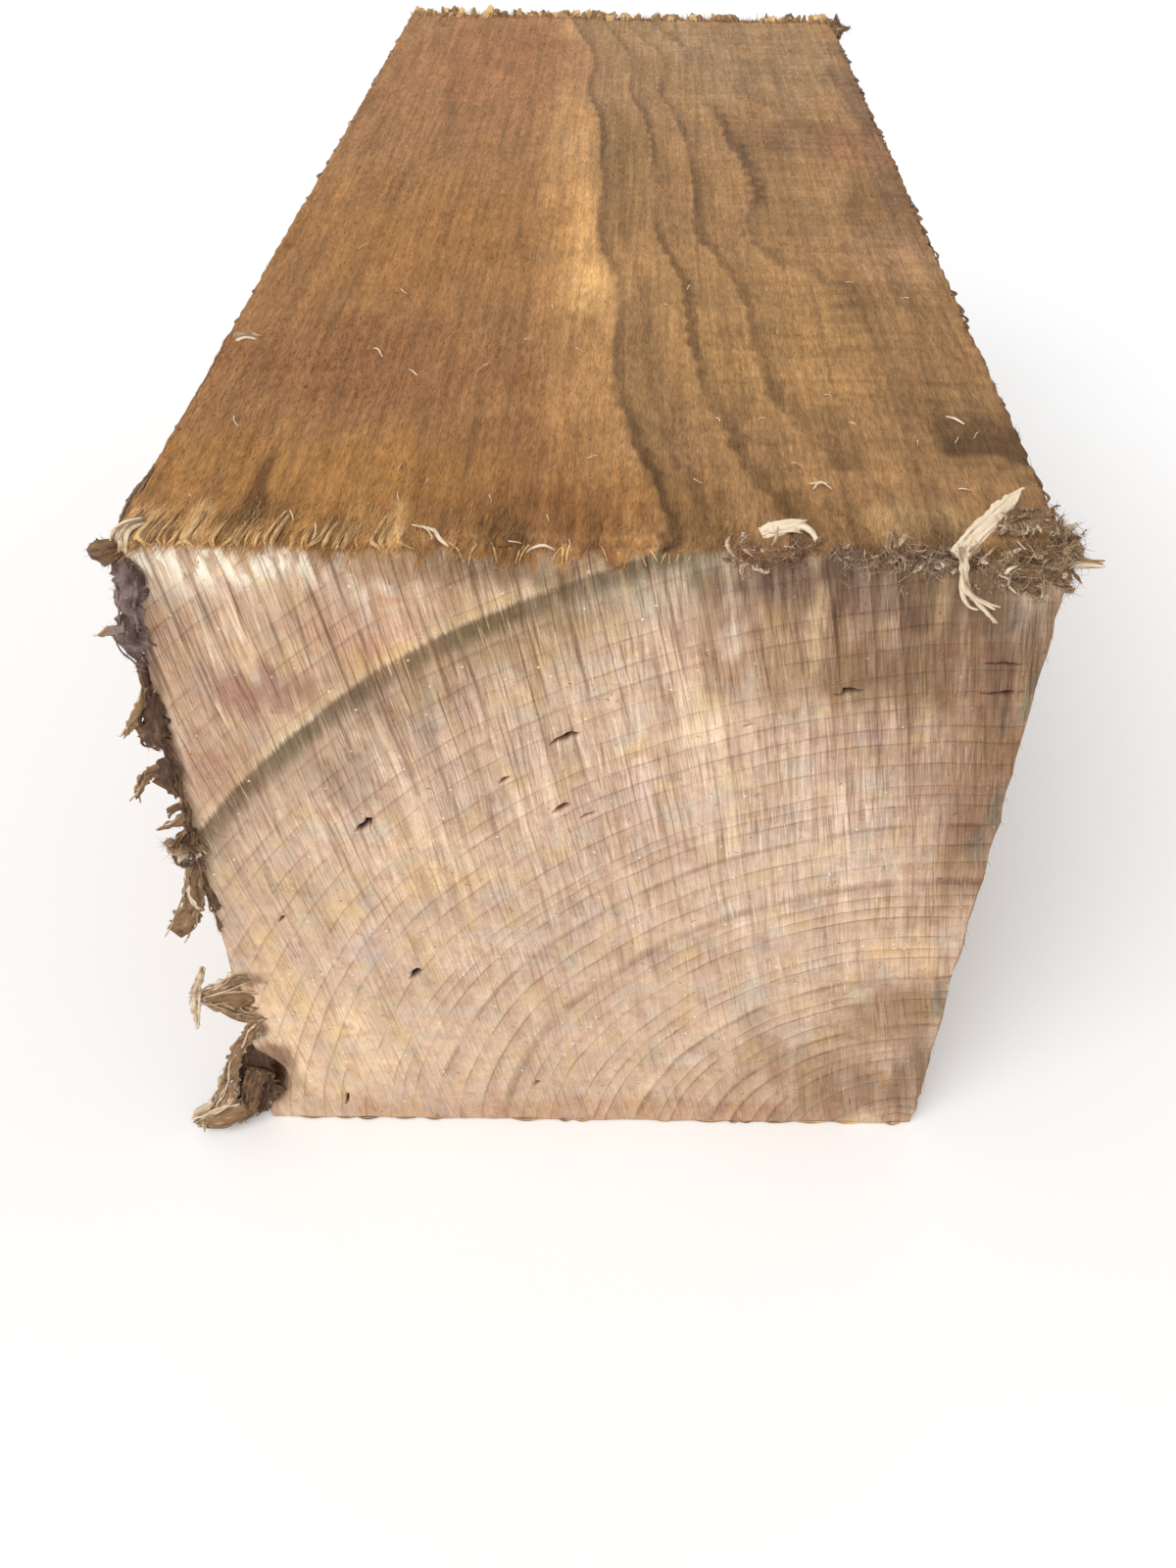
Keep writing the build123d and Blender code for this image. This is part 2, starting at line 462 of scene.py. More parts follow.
def plain_box():
    """Closed box of six grids, each as fine as its relief needs, zipped along the arrises.

    The numbers are line spacings at the sides and in the middle, and how far in they change.
    """
    along_seen = graded_lines(ALONG, 0.45, 1.0, 40)
    along_plain = graded_lines(ALONG, 1.5, 2.4, 20)
    up_side = graded_lines(UP, 0.45, 2.6, 14)
    layout = (
        (NEAR, {ACROSS: graded_lines(ACROSS, 0.4, 0.8, 8), UP: graded_lines(UP, 0.35, 0.8, 8)}),
        (FAR, {ACROSS: graded_lines(ACROSS, 1.0, 1.6, 10), UP: graded_lines(UP, 1.0, 1.6, 10)}),
        (TOP, {ACROSS: graded_lines(ACROSS, 0.4, 0.9, 6), ALONG: along_seen}),
        (BASE, {ACROSS: graded_lines(ACROSS, 1.2, 2.2, 10), ALONG: along_plain}),
        (LEFT, {ALONG: along_seen, UP: up_side}),
        (RIGHT, {ALONG: along_seen, UP: up_side}),
    )
    faces = []
    start = 0
    for face, lines in layout:
        faces.append(SawnFace(face, lines, start))
        start += faces[-1].index.size
    points = np.concatenate([face.points() for face in faces])
    polygons = [tuple(quad) for face in faces for quad in face.quads()]
    for one, two in itertools.combinations(faces, 2):
        if one.fixed != two.fixed:
            polygons += zip_borders(one.border(two), two.border(one))
    for sides in itertools.product((0, 1), repeat=3):
        polygons.append(tuple(f.corner(sides) for f in faces if f.side == sides[f.fixed]))
    return points, polygons


def across_check(x, z, check):
    """Places along (as a share of its half length) and across one check, which follows its ring."""
    middle_x, middle_z, length, _ = check
    out = np.array((middle_x - PITH_X, middle_z - PITH_Z))
    out /= np.linalg.norm(out)
    along = (x - middle_x) * out[1] - (z - middle_z) * out[0]
    across = (x - middle_x) * out[0] + (z - middle_z) * out[1]
    return along / (length / 2), across


def refine_checks(mesh):
    """Finer mesh of the near end where the drying checks open."""
    bm = bmesh.new()
    bm.from_mesh(mesh)
    edges = set()
    for face in bm.faces:
        middle = face.calc_center_median()
        if middle.y > ZIP_WIDTH / 4 or len(face.verts) != 4:
            continue
        for check in CHECKS:
            along, across = across_check(middle.x, middle.z, check)
            if abs(along) < 1.6 and abs(across) < 1.1:
                edges.update(face.edges)
                break
    bmesh.ops.subdivide_edges(bm, edges=list(edges), cuts=5, use_grid_fill=True)
    bmesh.ops.triangulate(bm, faces=[face for face in bm.faces if len(face.verts) > 4])
    bmesh.ops.recalc_face_normals(bm, faces=bm.faces)
    bm.to_mesh(mesh)
    bm.free()


def check_depths(x, z):
    """How far the near end opens into a check at each place, from 0 to 1."""
    depth = np.zeros(len(x))
    wander = 0.15 * flat_noise(x, z, (0.8, 0.8), 31)
    for check in CHECKS:
        along, across = across_check(x, z, check)
        half_width = check[3] / 2 * np.clip(1 - along ** 2, 0, None) * (1 + 0.5 * along)
        half_width *= 1 + 0.45 * flat_noise(x, z, (0.5, 0.5), 32)
        opening = smooth(np.abs(across + wander), half_width + 0.08, half_width * 0.3)
        depth = np.maximum(depth, opening * smooth(np.abs(along), 1.0, 0.6))
    return depth


def end_relief(x, z, seed):
    """How far a cross-cut end stands out: leaning saw ridges and torn pores."""
    lean = x + RIDGE_LEAN * z
    ridges = 0.06 * flat_noise(lean, z, (1.7, 26), seed)
    ridges += 0.10 * flat_noise(lean, z, (6, 40), seed + 1)
    return ridges + 0.04 * flat_noise(x, z, (1.1, 1.1), seed + 2)


def long_relief(across, along, seed):
    """How far a sawn long face stands out: saw ripple, furrows along the grain and wool."""
    phase = 1.3 * flat_noise(across, along, (30, 60), seed)
    ripple = 0.06 * np.sin(2 * math.pi * along / RIPPLE_PITCH + phase)
    furrows = 0.10 * flat_noise(across, along, (1.6, 22), seed + 1)
    broad = 0.20 * flat_noise(across, along, (18, 50), seed + 2)
    wool = 0.10 * flat_noise(across, along, (1.0, 2.2), seed + 3)
    return ripple + furrows + broad + wool


def rounding(inset, radius):
    """Drop of a face towards a rounded arris."""
    gap = np.clip(radius - inset, 0, radius)
    return radius - np.sqrt(radius ** 2 - gap ** 2)


def scoop_radius(x):
    """Radius of the scoop along the near top arris, which widens towards the right corner."""
    return np.interp(x, (SCOOP_START, SCOOP_END), SCOOP_RADII, left=0)


class BlockPoints:
    """Vertices of the plain box: their places on the block, and how far each is from each face."""

    def __init__(self, box_points):
        x, along, up = box_points.T
        self.start = near_y(x)
        y = self.start + along / LENGTH * (FAR_Y - self.start)
        z = up / HEIGHT * top_z(x)
        self.x, self.y, self.z = x, y, z
        self.flat = {NEAR: (x, z), FAR: (-x, z), TOP: (x, y), BASE: (x, y), LEFT: (z, y), RIGHT: (z, y)}
        self.inset = {side: np.abs(box_points[:, side[0]] - BOX[side[1]][side[0]]) for side in SIDES}
        self.on = {side: self.inset[side] < ZIP_WIDTH / 2 for side in SIDES}
        self.checks = np.zeros(len(x))
        self.checks[self.on[NEAR]] = check_depths(*self.on_face(NEAR))

        # Rolled top: its reach down the near end, and where it covers the end grain
        self.roll = np.interp(x, *zip(*ARRIS_ROLL))
        self.roll_reach = self.roll * np.clip(0.8 + arris_noise(x, ((0.6, 1.6), (0.4, 0.6)), 27), 0, None)
        border = (self.roll_reach + ROLL_FRAY, self.roll_reach - ROLL_FRAY)
        self.rolled = self.on[NEAR] * smooth(self.inset[TOP], *border)

        # Combed tufts along the near top arris, pale on the left and weathered on the right
        self.left_end = smooth(x, -2, -26)
        self.comb = flat_noise(x, y, (1.5, 16), 93) + 0.6 * flat_noise(x, y, (0.6, 9), 94)
        self.tufted = self.left_end * smooth(self.comb, -0.5, 0.5)

    def on_face(self, side):
        """The two places of each vertex of one face, over that face."""
        return [place[self.on[side]] for place in self.flat[side]]


def stand_out(block, check_depth):
    """How far each vertex stands out of its face: saw marks, worn and torn arrises, and checks."""
    x, y, z, inset, on = block.x, block.y, block.z, block.inset, block.on
    out = np.zeros(len(x))
    for seed, side in enumerate(SIDES):
        relief = end_relief if side in (NEAR, FAR) else long_relief
        out[on[side]] = relief(*block.on_face(side), 40 + 10 * seed)
    wear = 1 + 0.5 * grain_noise(np.stack((x, y, z), axis=1), (3, 3, 3), 21)
    for side, edge in itertools.permutations(SIDES, 2):
        if side[0] == edge[0]:
            continue
        mask = on[side]
        radius = END_ARRIS if ALONG in (side[0], edge[0]) else LONG_ARRIS
        if {side, edge} == {TOP, NEAR}:
            radius = np.where(x[mask] < SCOOP_START, 0, END_ARRIS)
        out[mask] -= rounding(inset[edge][mask], radius * wear[mask])

    # Tears of the near top arris, scallops of the right one and chips of the near right one
    notch = np.clip(0.25 + arris_noise(x, ((0.8, 2.4), (0.4, 0.8)), 22), 0, 1)
    scallop = 0.5 + 0.5 * np.sin(2 * math.pi * y / RIPPLE_PITCH + arris_noise(y, ((2, 25),), 24))
    chips = np.clip(0.15 + arris_noise(z, ((1, 1.6), (0.5, 0.6)), 29), -0.5, 0.9)
    for side, edge, drop, reach, power in (
        (TOP, NEAR, 0.9 * notch, 5, 2),
        (NEAR, TOP, 0.7 * notch, 4, 2),
        (TOP, RIGHT, 0.45 * scallop, 4, 1),
        (RIGHT, TOP, 0.45 * scallop, 4, 1),
        (NEAR, RIGHT, 0.25 * chips, 2.5, 1),
        (RIGHT, NEAR, 0.25 * chips, 2.5, 1),
    ):
        mask = on[side]
        out[mask] -= drop[mask] * smooth(inset[edge][mask], reach, 0) ** power
    out -= check_depth * block.checks
    out[on[BASE]] = -np.abs(out[on[BASE]])
    return out


def wrap_arris(block, places, radius, hollow):
    """Wrap the top and the near cut round a quarter circle, hollow or full, till they meet in its middle."""
    for side, edge in ((TOP, NEAR), (NEAR, TOP)):
        mask = block.on[side] & (block.inset[edge] < radius)
        share = block.inset[edge][mask] / radius[mask]
        turn = math.pi / 4 * (1 - share if side == TOP else 1 + share)
        back, down = (np.cos(turn), np.sin(turn)) if hollow else (1 - np.sin(turn), 1 - np.cos(turn))
        wrapped_y = block.start[mask] + radius[mask] * back
        wrapped_z = top_z(block.x[mask]) - radius[mask] * down
        places[mask, 1] = wrapped_y + (places[mask, 1] - block.y[mask]) * 0.5
        places[mask, 2] = wrapped_z + (places[mask, 2] - block.z[mask]) * 0.5


def push_hollow(places, radius):
    """Push what lies in a ball at the bottom left corner back to it; also how much painted shade darkens the
    wood there.
    """
    centre = np.array((-HALF_WIDTH - HOLLOW_STANDOFF, near_y(-HALF_WIDTH) - HOLLOW_STANDOFF, HOLLOW_HEIGHT))
    from_centre = places - centre
    distance = np.linalg.norm(from_centre, axis=1)
    ragged = radius * (1 + 0.15 * grain_noise(places, (2.5, 2.5, 5), 25))
    share = np.clip(0.5 + 0.5 * (ragged - distance) / HOLLOW_RIM, 0, 1)
    pushed = distance + share * (ragged - distance) + HOLLOW_RIM * share * (1 - share)
    places = centre + from_centre * (pushed / distance)[:, None]
    places[:, 2] = np.maximum(places[:, 2], 0)
    frayed = ragged + 1.2 + 1.2 * grain_noise(places, (0.8, 0.8, 2), 26)
    return places, np.clip((frayed - distance) / 3, 0, 1)


def block_stain_and_shade(block, depth, end_colour, long_colour):
    """Gain of each vertex on the wood's own colour: stains, pale torn tufts, and painted shade in the hollow
    and in the gaps between the combed tufts.
    """
    on, inset = block.on, block.inset
    wash = np.ones((len(block.x), 3))
    wash[on[NEAR]] = stain_and_shade_gain(*block.on_face(NEAR), SCORE_LEAN, END_STAINS_AND_SHADE, end_colour, 81)
    mask = block.rolled > 0
    over = stain_and_shade_gain(block.x[mask], block.y[mask], 0.0, TOP_STAINS_AND_SHADE, long_colour, 83)
    wash[mask] += block.rolled[mask, None] * (1.12 * over - wash[mask])
    wash[on[TOP]] = stain_and_shade_gain(*block.on_face(TOP), 0.0, TOP_STAINS_AND_SHADE, long_colour, 83)
    for seed, side in enumerate((BASE, LEFT, RIGHT, FAR), start=85):
        tone = 0.10 * flat_noise(*block.on_face(side), (14, 30), seed)
        wash[on[side]] = (0.94 + tone)[:, None]
    # Painted shade: the wood darkens as the hollow deepens
    wash *= 1 - depth[:, None] * np.array((0.50, 0.58, 0.64))
    combed = on[TOP] * smooth(inset[NEAR] + 3 * block.comb, 9, 0)
    pale = combed * block.tufted + 0.5 * on[TOP] * block.left_end * smooth(inset[NEAR], 3, 0)
    wash *= 1 + pale[:, None] * np.array((0.55, 0.75, 1.0))
    # Painted shade in the gaps between the combed tufts
    wash *= (1 - 0.25 * combed * smooth(block.comb, -0.1, -0.9))[:, None]
    return wash


def block_masks(block):
    """What the materials and the fibres read at each vertex."""
    x, y, z, inset, on = block.x, block.y, block.z, block.inset, block.on
    clumps = smooth(arris_noise(x, ((1, 1.7), (0.5, 0.6)), 95), -0.3, 0.6)
    hang_reach = 0.2 + 4.0 * smooth(arris_noise(x, ((1, 3.5), (0.4, 1)), 97), -0.4, 0.8)
    patches = 0.6 + 0.5 * flat_noise(x, y, (4, 7), 91) + 0.3 * flat_noise(x, y, (1.5, 3), 92)
    fringe = on[TOP] * smooth(inset[NEAR], 10, 2) + on[NEAR] * (inset[TOP] < block.roll_reach + 0.4)
    hang = on[NEAR] * (inset[TOP] < hang_reach) + on[TOP] * (inset[NEAR] < 1)
    return {
        "end_grain": on[NEAR] * (1 - block.rolled) + on[FAR],
        "check": block.checks,
        "fresh": np.clip(0.2 + 0.2 * block.left_end + 0.6 * block.tufted, 0, 1),
        "wool_near": on[TOP] * (y < WOOL_SPLIT) * patches,
        "wool_far": on[TOP] * (y >= WOOL_SPLIT) * patches,
        "wool_side": (on[LEFT] | on[RIGHT]) * (z > 5) * patches,
        "fringe": fringe * (0.4 + clumps) * (0.3 + 0.7 * block.left_end + 0.45 * smooth(x, 12, 18)),
        "fringe_far": on[TOP] * (inset[FAR] < 3) + on[FAR] * (inset[TOP] < 1.5),
        "dust": (on[NEAR] | on[FAR]) * (z > 2),
        "hang": hang * smooth(x, 12, 16) * clumps,
    }


def block_relief(box_points, sizes, colours):
    """Final places of the block's vertices, and what materials and fibres read at each."""
    block = BlockPoints(box_points)
    out = stand_out(block, sizes.check_depth / MM)
    places = np.stack((block.x, block.y, block.z), axis=1)
    for side in SIDES:
        places[block.on[side], side[0]] += (1 if side[1] else -1) * out[block.on[side]]
    wrap_arris(block, places, scoop_radius(block.x), hollow=True)
    roll_radius = np.where(block.x < SCOOP_START, END_ARRIS + ROLL_SHARE * block.roll, 0)
    wrap_arris(block, places, roll_radius, hollow=False)
    places, depth = push_hollow(places, sizes.hollow_radius / MM)
    return places, block_masks(block), block_stain_and_shade(block, depth, colours.end, colours.heart)


def link_mesh(name, mesh, material=None):
    """Object at the origin for a finished mesh, with its material."""
    piece = bpy.data.objects.new(name, mesh)
    bpy.context.scene.collection.objects.link(piece)
    if material:
        mesh.materials.append(material)
    return piece


def finish_piece(piece):
    """Fix a piece to the block's body."""
    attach(piece, "root")


def set_attributes(mesh, attributes):
    """Store one number for each vertex under each name."""
    for name, values in attributes.items():
        layer = mesh.attributes.new(name, "FLOAT", "POINT")
        layer.data.foreach_set("value", np.asarray(values, np.float32))


def set_colour(mesh, name, colours):
    """Store one colour for each vertex."""
    layer = mesh.attributes.new(name, "FLOAT_COLOR", "POINT")
    filled = np.concatenate((colours, np.ones((len(colours), 1))), axis=1)
    layer.data.foreach_set("color", filled.astype(np.float32).ravel())


# Node helpers

class Graph:
    """Short way to write a node tree: each method adds a node and returns its output."""

    def __init__(self, tree):
        self.tree = tree

    def add(self, kind, inputs=None, **settings):
        node = self.tree.nodes.new(kind)
        for key, value in settings.items():
            setattr(node, key, value)
        for key, value in (inputs or {}).items():
            self.feed(node.inputs[key], value)
        return node

    def feed(self, socket, value):
        if isinstance(value, bpy.types.NodeSocket):
            self.tree.links.new(value, socket)
        else:
            socket.default_value = value

    def math(self, operation, *values):
        return self.add("ShaderNodeMath", dict(enumerate(values)), operation=operation).outputs[0]

    def times(self, first, *others):
        for other in others:
            first = self.math("MULTIPLY", first, other)
        return first

    def plus(self, first, second):
        return self.math("ADD", first, second)

    def minus(self, first, second):
        return self.math("SUBTRACT", first, second)

    def over(self, first, second):
        return self.math("DIVIDE", first, second)

    def most(self, first, second):
        return self.math("MAXIMUM", first, second)

    def sway(self, field, *sizes):
        """A noise field moved to swing round zero, times its sizes."""
        return self.times(self.minus(field, 0.5), *sizes)

    def parts(self, vector):
        return self.add("ShaderNodeSeparateXYZ", {0: vector}).outputs

    def moved(self, place, *shift):
        return self.vector("ADD", place, shift)

    def vector(self, operation, *values):
        node = self.add("ShaderNodeVectorMath", dict(enumerate(values)), operation=operation)
        return node.outputs["Value" if operation == "LENGTH" else "Vector"]

    def scale(self, colour, gain):
        node = self.add("ShaderNodeVectorMath", {0: colour, "Scale": gain}, operation="SCALE")
        return node.outputs[0]

    def combine(self, x, y, z):
        return self.add("ShaderNodeCombineXYZ", {0: x, 1: y, 2: z}).outputs[0]

    def noise(self, vector, cell, detail=2.0, roughness=0.5):
        """Noise whose cells have these sizes along the three axes."""
        place = self.vector("DIVIDE", vector, cell)
        inputs = {"Vector": place, "Scale": 1.0, "Detail": detail, "Roughness": roughness}
        return self.add("ShaderNodeTexNoise", inputs).outputs[0]

    def lines(self, place, pitch, width, randomness=0.9):
        """Thin lines at uneven places along one axis, 1 in the middle of each line."""
        inputs = {"W": self.math("DIVIDE", place, pitch), "Scale": 1.0, "Randomness": randomness}
        edge = self.add(
            "ShaderNodeTexVoronoi", inputs, voronoi_dimensions="1D", feature="DISTANCE_TO_EDGE")
        return self.ramp(edge.outputs["Distance"], width / pitch, 0.0)

    def ramp(self, value, low, high, start=0.0, end=1.0):
        """Smooth step of a value from start at low to end at high."""
        inputs = {0: value, 1: low, 2: high, 3: start, 4: end}
        return self.add("ShaderNodeMapRange", inputs, interpolation_type="SMOOTHSTEP").outputs[0]

    def band(self, value, rise, full, hold, fall):
        """1 between full and hold, fading to 0 at rise and fall."""
        return self.times(self.ramp(value, rise, full), self.ramp(value, fall, hold))

    def mix(self, factor, first, second, blend="MIX"):
        inputs = {0: factor, 6: first, 7: second}
        node = self.add("ShaderNodeMix", inputs, data_type="RGBA", blend_type=blend)
        return node.outputs[2]

    def tint(self, colour, field, low, high):
        """Colour times low where a noise field is at its least, times high where it is at its most."""
        return self.scale(colour, self.ramp(field, 0.2, 0.8, low, high))

    def attribute(self, name, output="Fac"):
        return self.add("ShaderNodeAttribute", attribute_name=name).outputs[output]


DRIFT_SPAN = 120.0  # half the run of the drift curve along the log
DRIFT_SCALE = 10.0  # drift at the curve's full height
# How far the rings drift out along the log: place along, drift
RING_DRIFT = (
    (-120, 0.0), (-111, 0.5), (-92, 1.8), (-70, 2.6), (-50, 2.6), (-36, 3.5), (-24, 4.1), (-2, 4.0),
    (20, 4.3), (40, 4.9), (56, 5.9), (80, 5.8), (99, 7.1), (116, 8.6), (120, 8.9),
)


def ring_place(g, place):
    """Distance from the pith with the log's drift and waves in it, in millimetres."""
    x, y, z = g.parts(place)
    along = g.over(g.plus(y, DRIFT_SPAN), 2 * DRIFT_SPAN)
    curve_node = g.add("ShaderNodeFloatCurve", {"Value": along})
    curve = curve_node.mapping.curves[0]
    spots = [((a + DRIFT_SPAN) / (2 * DRIFT_SPAN), drift / DRIFT_SCALE) for a, drift in RING_DRIFT]
    curve.points[0].location = spots[0]
    curve.points[1].location = spots[-1]
    for spot in spots[1:-1]:
        curve.points.new(*spot)
    curve_node.mapping.update()
    drift = g.minus(g.times(curve_node.outputs[0], DRIFT_SCALE), RING_DRIFT[1][1])

    dx = g.minus(x, PITH_X)
    dz = g.minus(z, PITH_Z)
    radius = g.vector("LENGTH", g.combine(dx, dz, 0))
    squeeze = g.over(g.times(g.plus(dx, dz), 5.0), radius)
    squeeze = g.times(squeeze, g.minus(1, g.over(radius, BAND_RADIUS)))
    rings = g.minus(g.minus(radius, drift), squeeze)
    for cell, size in (((26, 90, 26), 2.2), ((5, 40, 5), 0.35), ((0.5, 5, 0.5), 0.10)):
        rings = g.plus(rings, g.sway(g.noise(place, cell), size))
    return rings


# Dark lines of late wood on the top, from the dark ring inwards: distance from the pith and strength
LATE_LINES = (
    (BAND_RADIUS, 1.0), (116.8, 0.5), (114.6, 0.9), (112.4, 0.8), (110.2, 1.0), (108.0, 0.6), (106.0, 0.5),
    (103.0, 0.6), (99.0, 0.5),
)


def long_grain(g, place, rings, colours):
    """Colour of a face sawn along the grain."""
    x, y, _ = g.parts(place)
    off_band = g.minus(rings, BAND_RADIUS)
    outside = g.ramp(off_band, 0.0, 1.5)
    colour = g.mix(outside, rgba(colours.heart), rgba(colours.outer))
    fading = g.noise(place, (9, 45, 9), 2.0)
    golden = g.times(g.band(off_band, 0.2, 0.6, 1.0, 6.0), g.ramp(fading, 0.25, 0.6, 0.2, 1.0))
    golden = g.times(golden, g.ramp(y, 70, 0, 0.35, 1.0), g.ramp(y, -115, -75, 0.4, 1.0))
    colour = g.mix(golden, colour, rgba(colours.golden))

    # Each late line darkens slowly outwards and ends sharply, and the far ones are fainter
    lines = 0.0
    for radius, strength in LATE_LINES:
        off = g.minus(rings, radius)
        broad = g.times(g.band(off, -2.0, -0.1, 0.05, 0.3), 0.3)
        narrow = g.times(g.band(off, -0.5, -0.1, 0.05, 0.3), 0.6)
        lines = g.most(lines, g.times(g.plus(broad, narrow), strength))
    outer_years = g.times(g.lines(rings, 2.7, 0.5), outside, 0.2)
    inner_years = g.times(g.lines(rings, 2.9, 0.7), g.ramp(rings, 107, 98), 0.45)
    lines = g.most(lines, inner_years)
    lines = g.times(g.most(lines, outer_years), g.ramp(fading, 0.32, 0.58, 0.25, 1.0))
    lines = g.times(lines, g.ramp(y, 90, -10, 0.5, 1.0))
    colour = g.mix(lines, colour, dye(104, 76, 48))
    rub = g.noise(place, (16, 2.0, 16), 3.0, 0.6)
    colour = g.scale(colour, g.plus(1.0, g.sway(rub, g.ramp(x, -10, 30, 0.1, 0.7))))
    for field, low, high in (
        (g.noise(place, (0.7, 24, 0.7), 3.0, 0.6), 0.76, 1.24),
        (g.noise(place, (4, 70, 4)), 0.90, 1.10),
        (g.noise(place, (6, 11, 6), 4.0, 0.6), 0.88, 1.12),
        (g.noise(place, (0.9, 3.4, 0.9), 2.0), 0.88, 1.12),
        (g.noise(place, (0.15, 1.6, 0.15), 2.0, 0.6), 0.84, 1.16),
    ):
        colour = g.tint(colour, field, low, high)
    return colour


DEEP = 60  # cell size along the grain of the patterns on the ends


def end_grain(g, place, rings, colours):
    """Colour of a cross-cut end, how much its saw scores are sunk, and its streaks."""
    x, y, z = g.parts(place)
    off_band = g.minus(rings, BAND_RADIUS)
    below_top = g.minus(g.plus(TOP_MIDDLE, g.times(x, TOP_SLOPE)), z)
    fading = g.noise(place, (9, DEEP, 9), 3.0)
    sway = g.sway(g.noise(place, (30, DEEP, 60)), 4.0)
    lean = g.plus(g.plus(x, g.times(z, SCORE_LEAN)), sway)
    run = g.combine(lean, y, z)
    cross = g.combine(g.plus(x, g.times(z, 0.06)), y, z)
    patch = g.noise(g.moved(place, 0, 0, 500), (13, DEEP, 17), 2.0)
    streak = g.noise(run, (0.24, DEEP, 14), 3.0, 0.65)
    weave = g.noise(cross, (0.40, DEEP, 18), 3.0, 0.65)
    wide = g.noise(run, (2.2, DEEP, 30), 3.0, 0.6)

    colour = g.mix(g.times(g.ramp(off_band, 0.3, 1.0), 0.5), rgba(colours.end), dye(204, 168, 136))
    colour = g.tint(colour, g.noise(place, (11, DEEP, 11), 3.0), 0.90, 1.10)
    arc = g.noise(g.combine(rings, 0, 0), (5, 1, 1), 2.0)
    colour = g.tint(colour, arc, 0.95, 1.05)
    colour = g.mix(g.ramp(arc, 0.5, 0.68, 0.0, 0.2), colour, dye(224, 190, 148))
    blush = g.ramp(g.noise(g.moved(place, 300, 0, 0), (7, DEEP, 7), 4.0), 0.5, 0.64, 0.0, 0.35)
    colour = g.mix(blush, colour, dye(206, 168, 146))
    for shift, cell, shade, most in (
        ((0, 0, 700), (5, DEEP, 6), (218, 186, 134), 0.52),
        ((700, 0, 0), (6, DEEP, 5), (200, 186, 170), 0.48),
        ((700, 0, 700), (3, DEEP, 3), (190, 146, 120), 0.40),
    ):
        spots = g.noise(g.moved(place, *shift), cell, 4.0, 0.6)
        colour = g.mix(g.ramp(spots, 0.50, 0.64, 0.0, most), colour, dye(*shade))

    # Each ring darkens outwards to a thin line of late wood, more clearly near the pith
    uneven = g.times(g.noise(g.combine(rings, 0, 0), (7, 1, 1), 1.0), 3.0)
    year = g.math("FRACT", g.plus(g.over(rings, 2.9), uneven))
    clear = g.times(g.ramp(fading, 0.38, 0.60, 0.25, 1.0), g.ramp(rings, 105, 55, 0.6, 1.0))
    colour = g.mix(g.times(g.band(year, 0.05, 0.75, 0.85, 1.0), clear, 0.24), colour, rgba(colours.late))
    colour = g.mix(g.times(g.band(year, 0.78, 0.87, 0.90, 0.97), clear, 0.48), colour, dye(124, 90, 68))
    faint = g.times(g.ramp(fading, 0.62, 0.42, 0.2, 1.0), g.ramp(z, 75, 40, 0.3, 1.0))
    hair = g.times(g.lines(rings, 1.5, 0.22), faint)
    colour = g.mix(g.times(hair, 0.10), colour, dye(140, 106, 82))

    # Dark ring: a sharp line outside, a broad streaky shade inside and a pale line beyond it
    edge = g.plus(off_band, g.sway(streak, 1.4))
    shade = g.times(g.band(edge, -10, -2.5, -0.6, 0.4), g.ramp(wide, 0.36, 0.60, 0.35, 1.0))
    colour = g.mix(g.times(shade, g.ramp(x, -40, 0, 0.40, 0.70)), colour, dye(138, 116, 88))
    glow = g.times(g.band(edge, 0.3, 0.6, 0.9, 2.4), g.ramp(x, 10, -20, 0.1, 0.55))
    colour = g.mix(glow, colour, dye(226, 200, 156))
    dark = g.times(g.band(edge, -3.4, -1.0, -0.1, 0.6), g.ramp(fading, 0.3, 0.6, 0.5, 0.8))
    colour = g.mix(dark, colour, rgba(colours.ring))

    # Saw scores: brushed streaks all over, with pale dashes and long dark cuts among them
    brushed = g.sway(streak, 0.66)
    brushed = g.plus(brushed, g.sway(weave, 0.55))
    brushed = g.plus(brushed, g.sway(wide, 0.64))
    worked = g.noise(g.moved(place, 0, 0, 200), (5, DEEP, 9), 3.0)
    busy = g.times(g.ramp(z, 10, 95, 0.55, 2.2), g.ramp(worked, 0.35, 0.65, 0.6, 1.4))
    gain = g.vector("ADD", (1, 1, 1), g.scale((0.88, 1.1, 1.2), g.times(brushed, busy)))
    colour = g.vector("MULTIPLY", colour, gain)
    dash = g.times(g.ramp(g.noise(run, (0.24, DEEP, 5.0), 1.0), 0.60, 0.70), g.ramp(patch, 0.40, 0.62))
    colour = g.mix(g.times(dash, 0.65), colour, dye(246, 224, 200))
    torn = g.times(g.ramp(below_top, 45, 5), g.ramp(x, 15, -25, 0.4, 1.0))
    white = g.times(g.ramp(g.noise(run, (1.5, DEEP, 5), 3.0), 0.44, 0.56), g.ramp(below_top, 7.5, 2.5))
    colour = g.mix(g.times(white, g.ramp(x, -20, -34, 0.1, 1.0)), colour, dye(248, 230, 206))
    broken = g.ramp(g.noise(run, (2.2, DEEP, 20)), 0.43, 0.58)
    cuts = g.times(g.lines(lean, 3.4, 0.40), broken, g.ramp(z, 15, 70, 0.4, 1.0))
    broken = g.ramp(g.noise(run, (1.2, DEEP, 14)), 0.44, 0.60)
    upper_left = g.times(g.ramp(z, 20, 80, 0.15, 1.0), g.ramp(x, 35, 0, 0.5, 1.0))
    fine = g.times(g.lines(lean, 1.3, 0.13), broken, upper_left)
    thin = g.ramp(g.noise(run, (0.26, DEEP, 11), 1.0), 0.41, 0.31)
    thin = g.times(thin, g.ramp(patch, 0.62, 0.42, 0.2, 1.0))
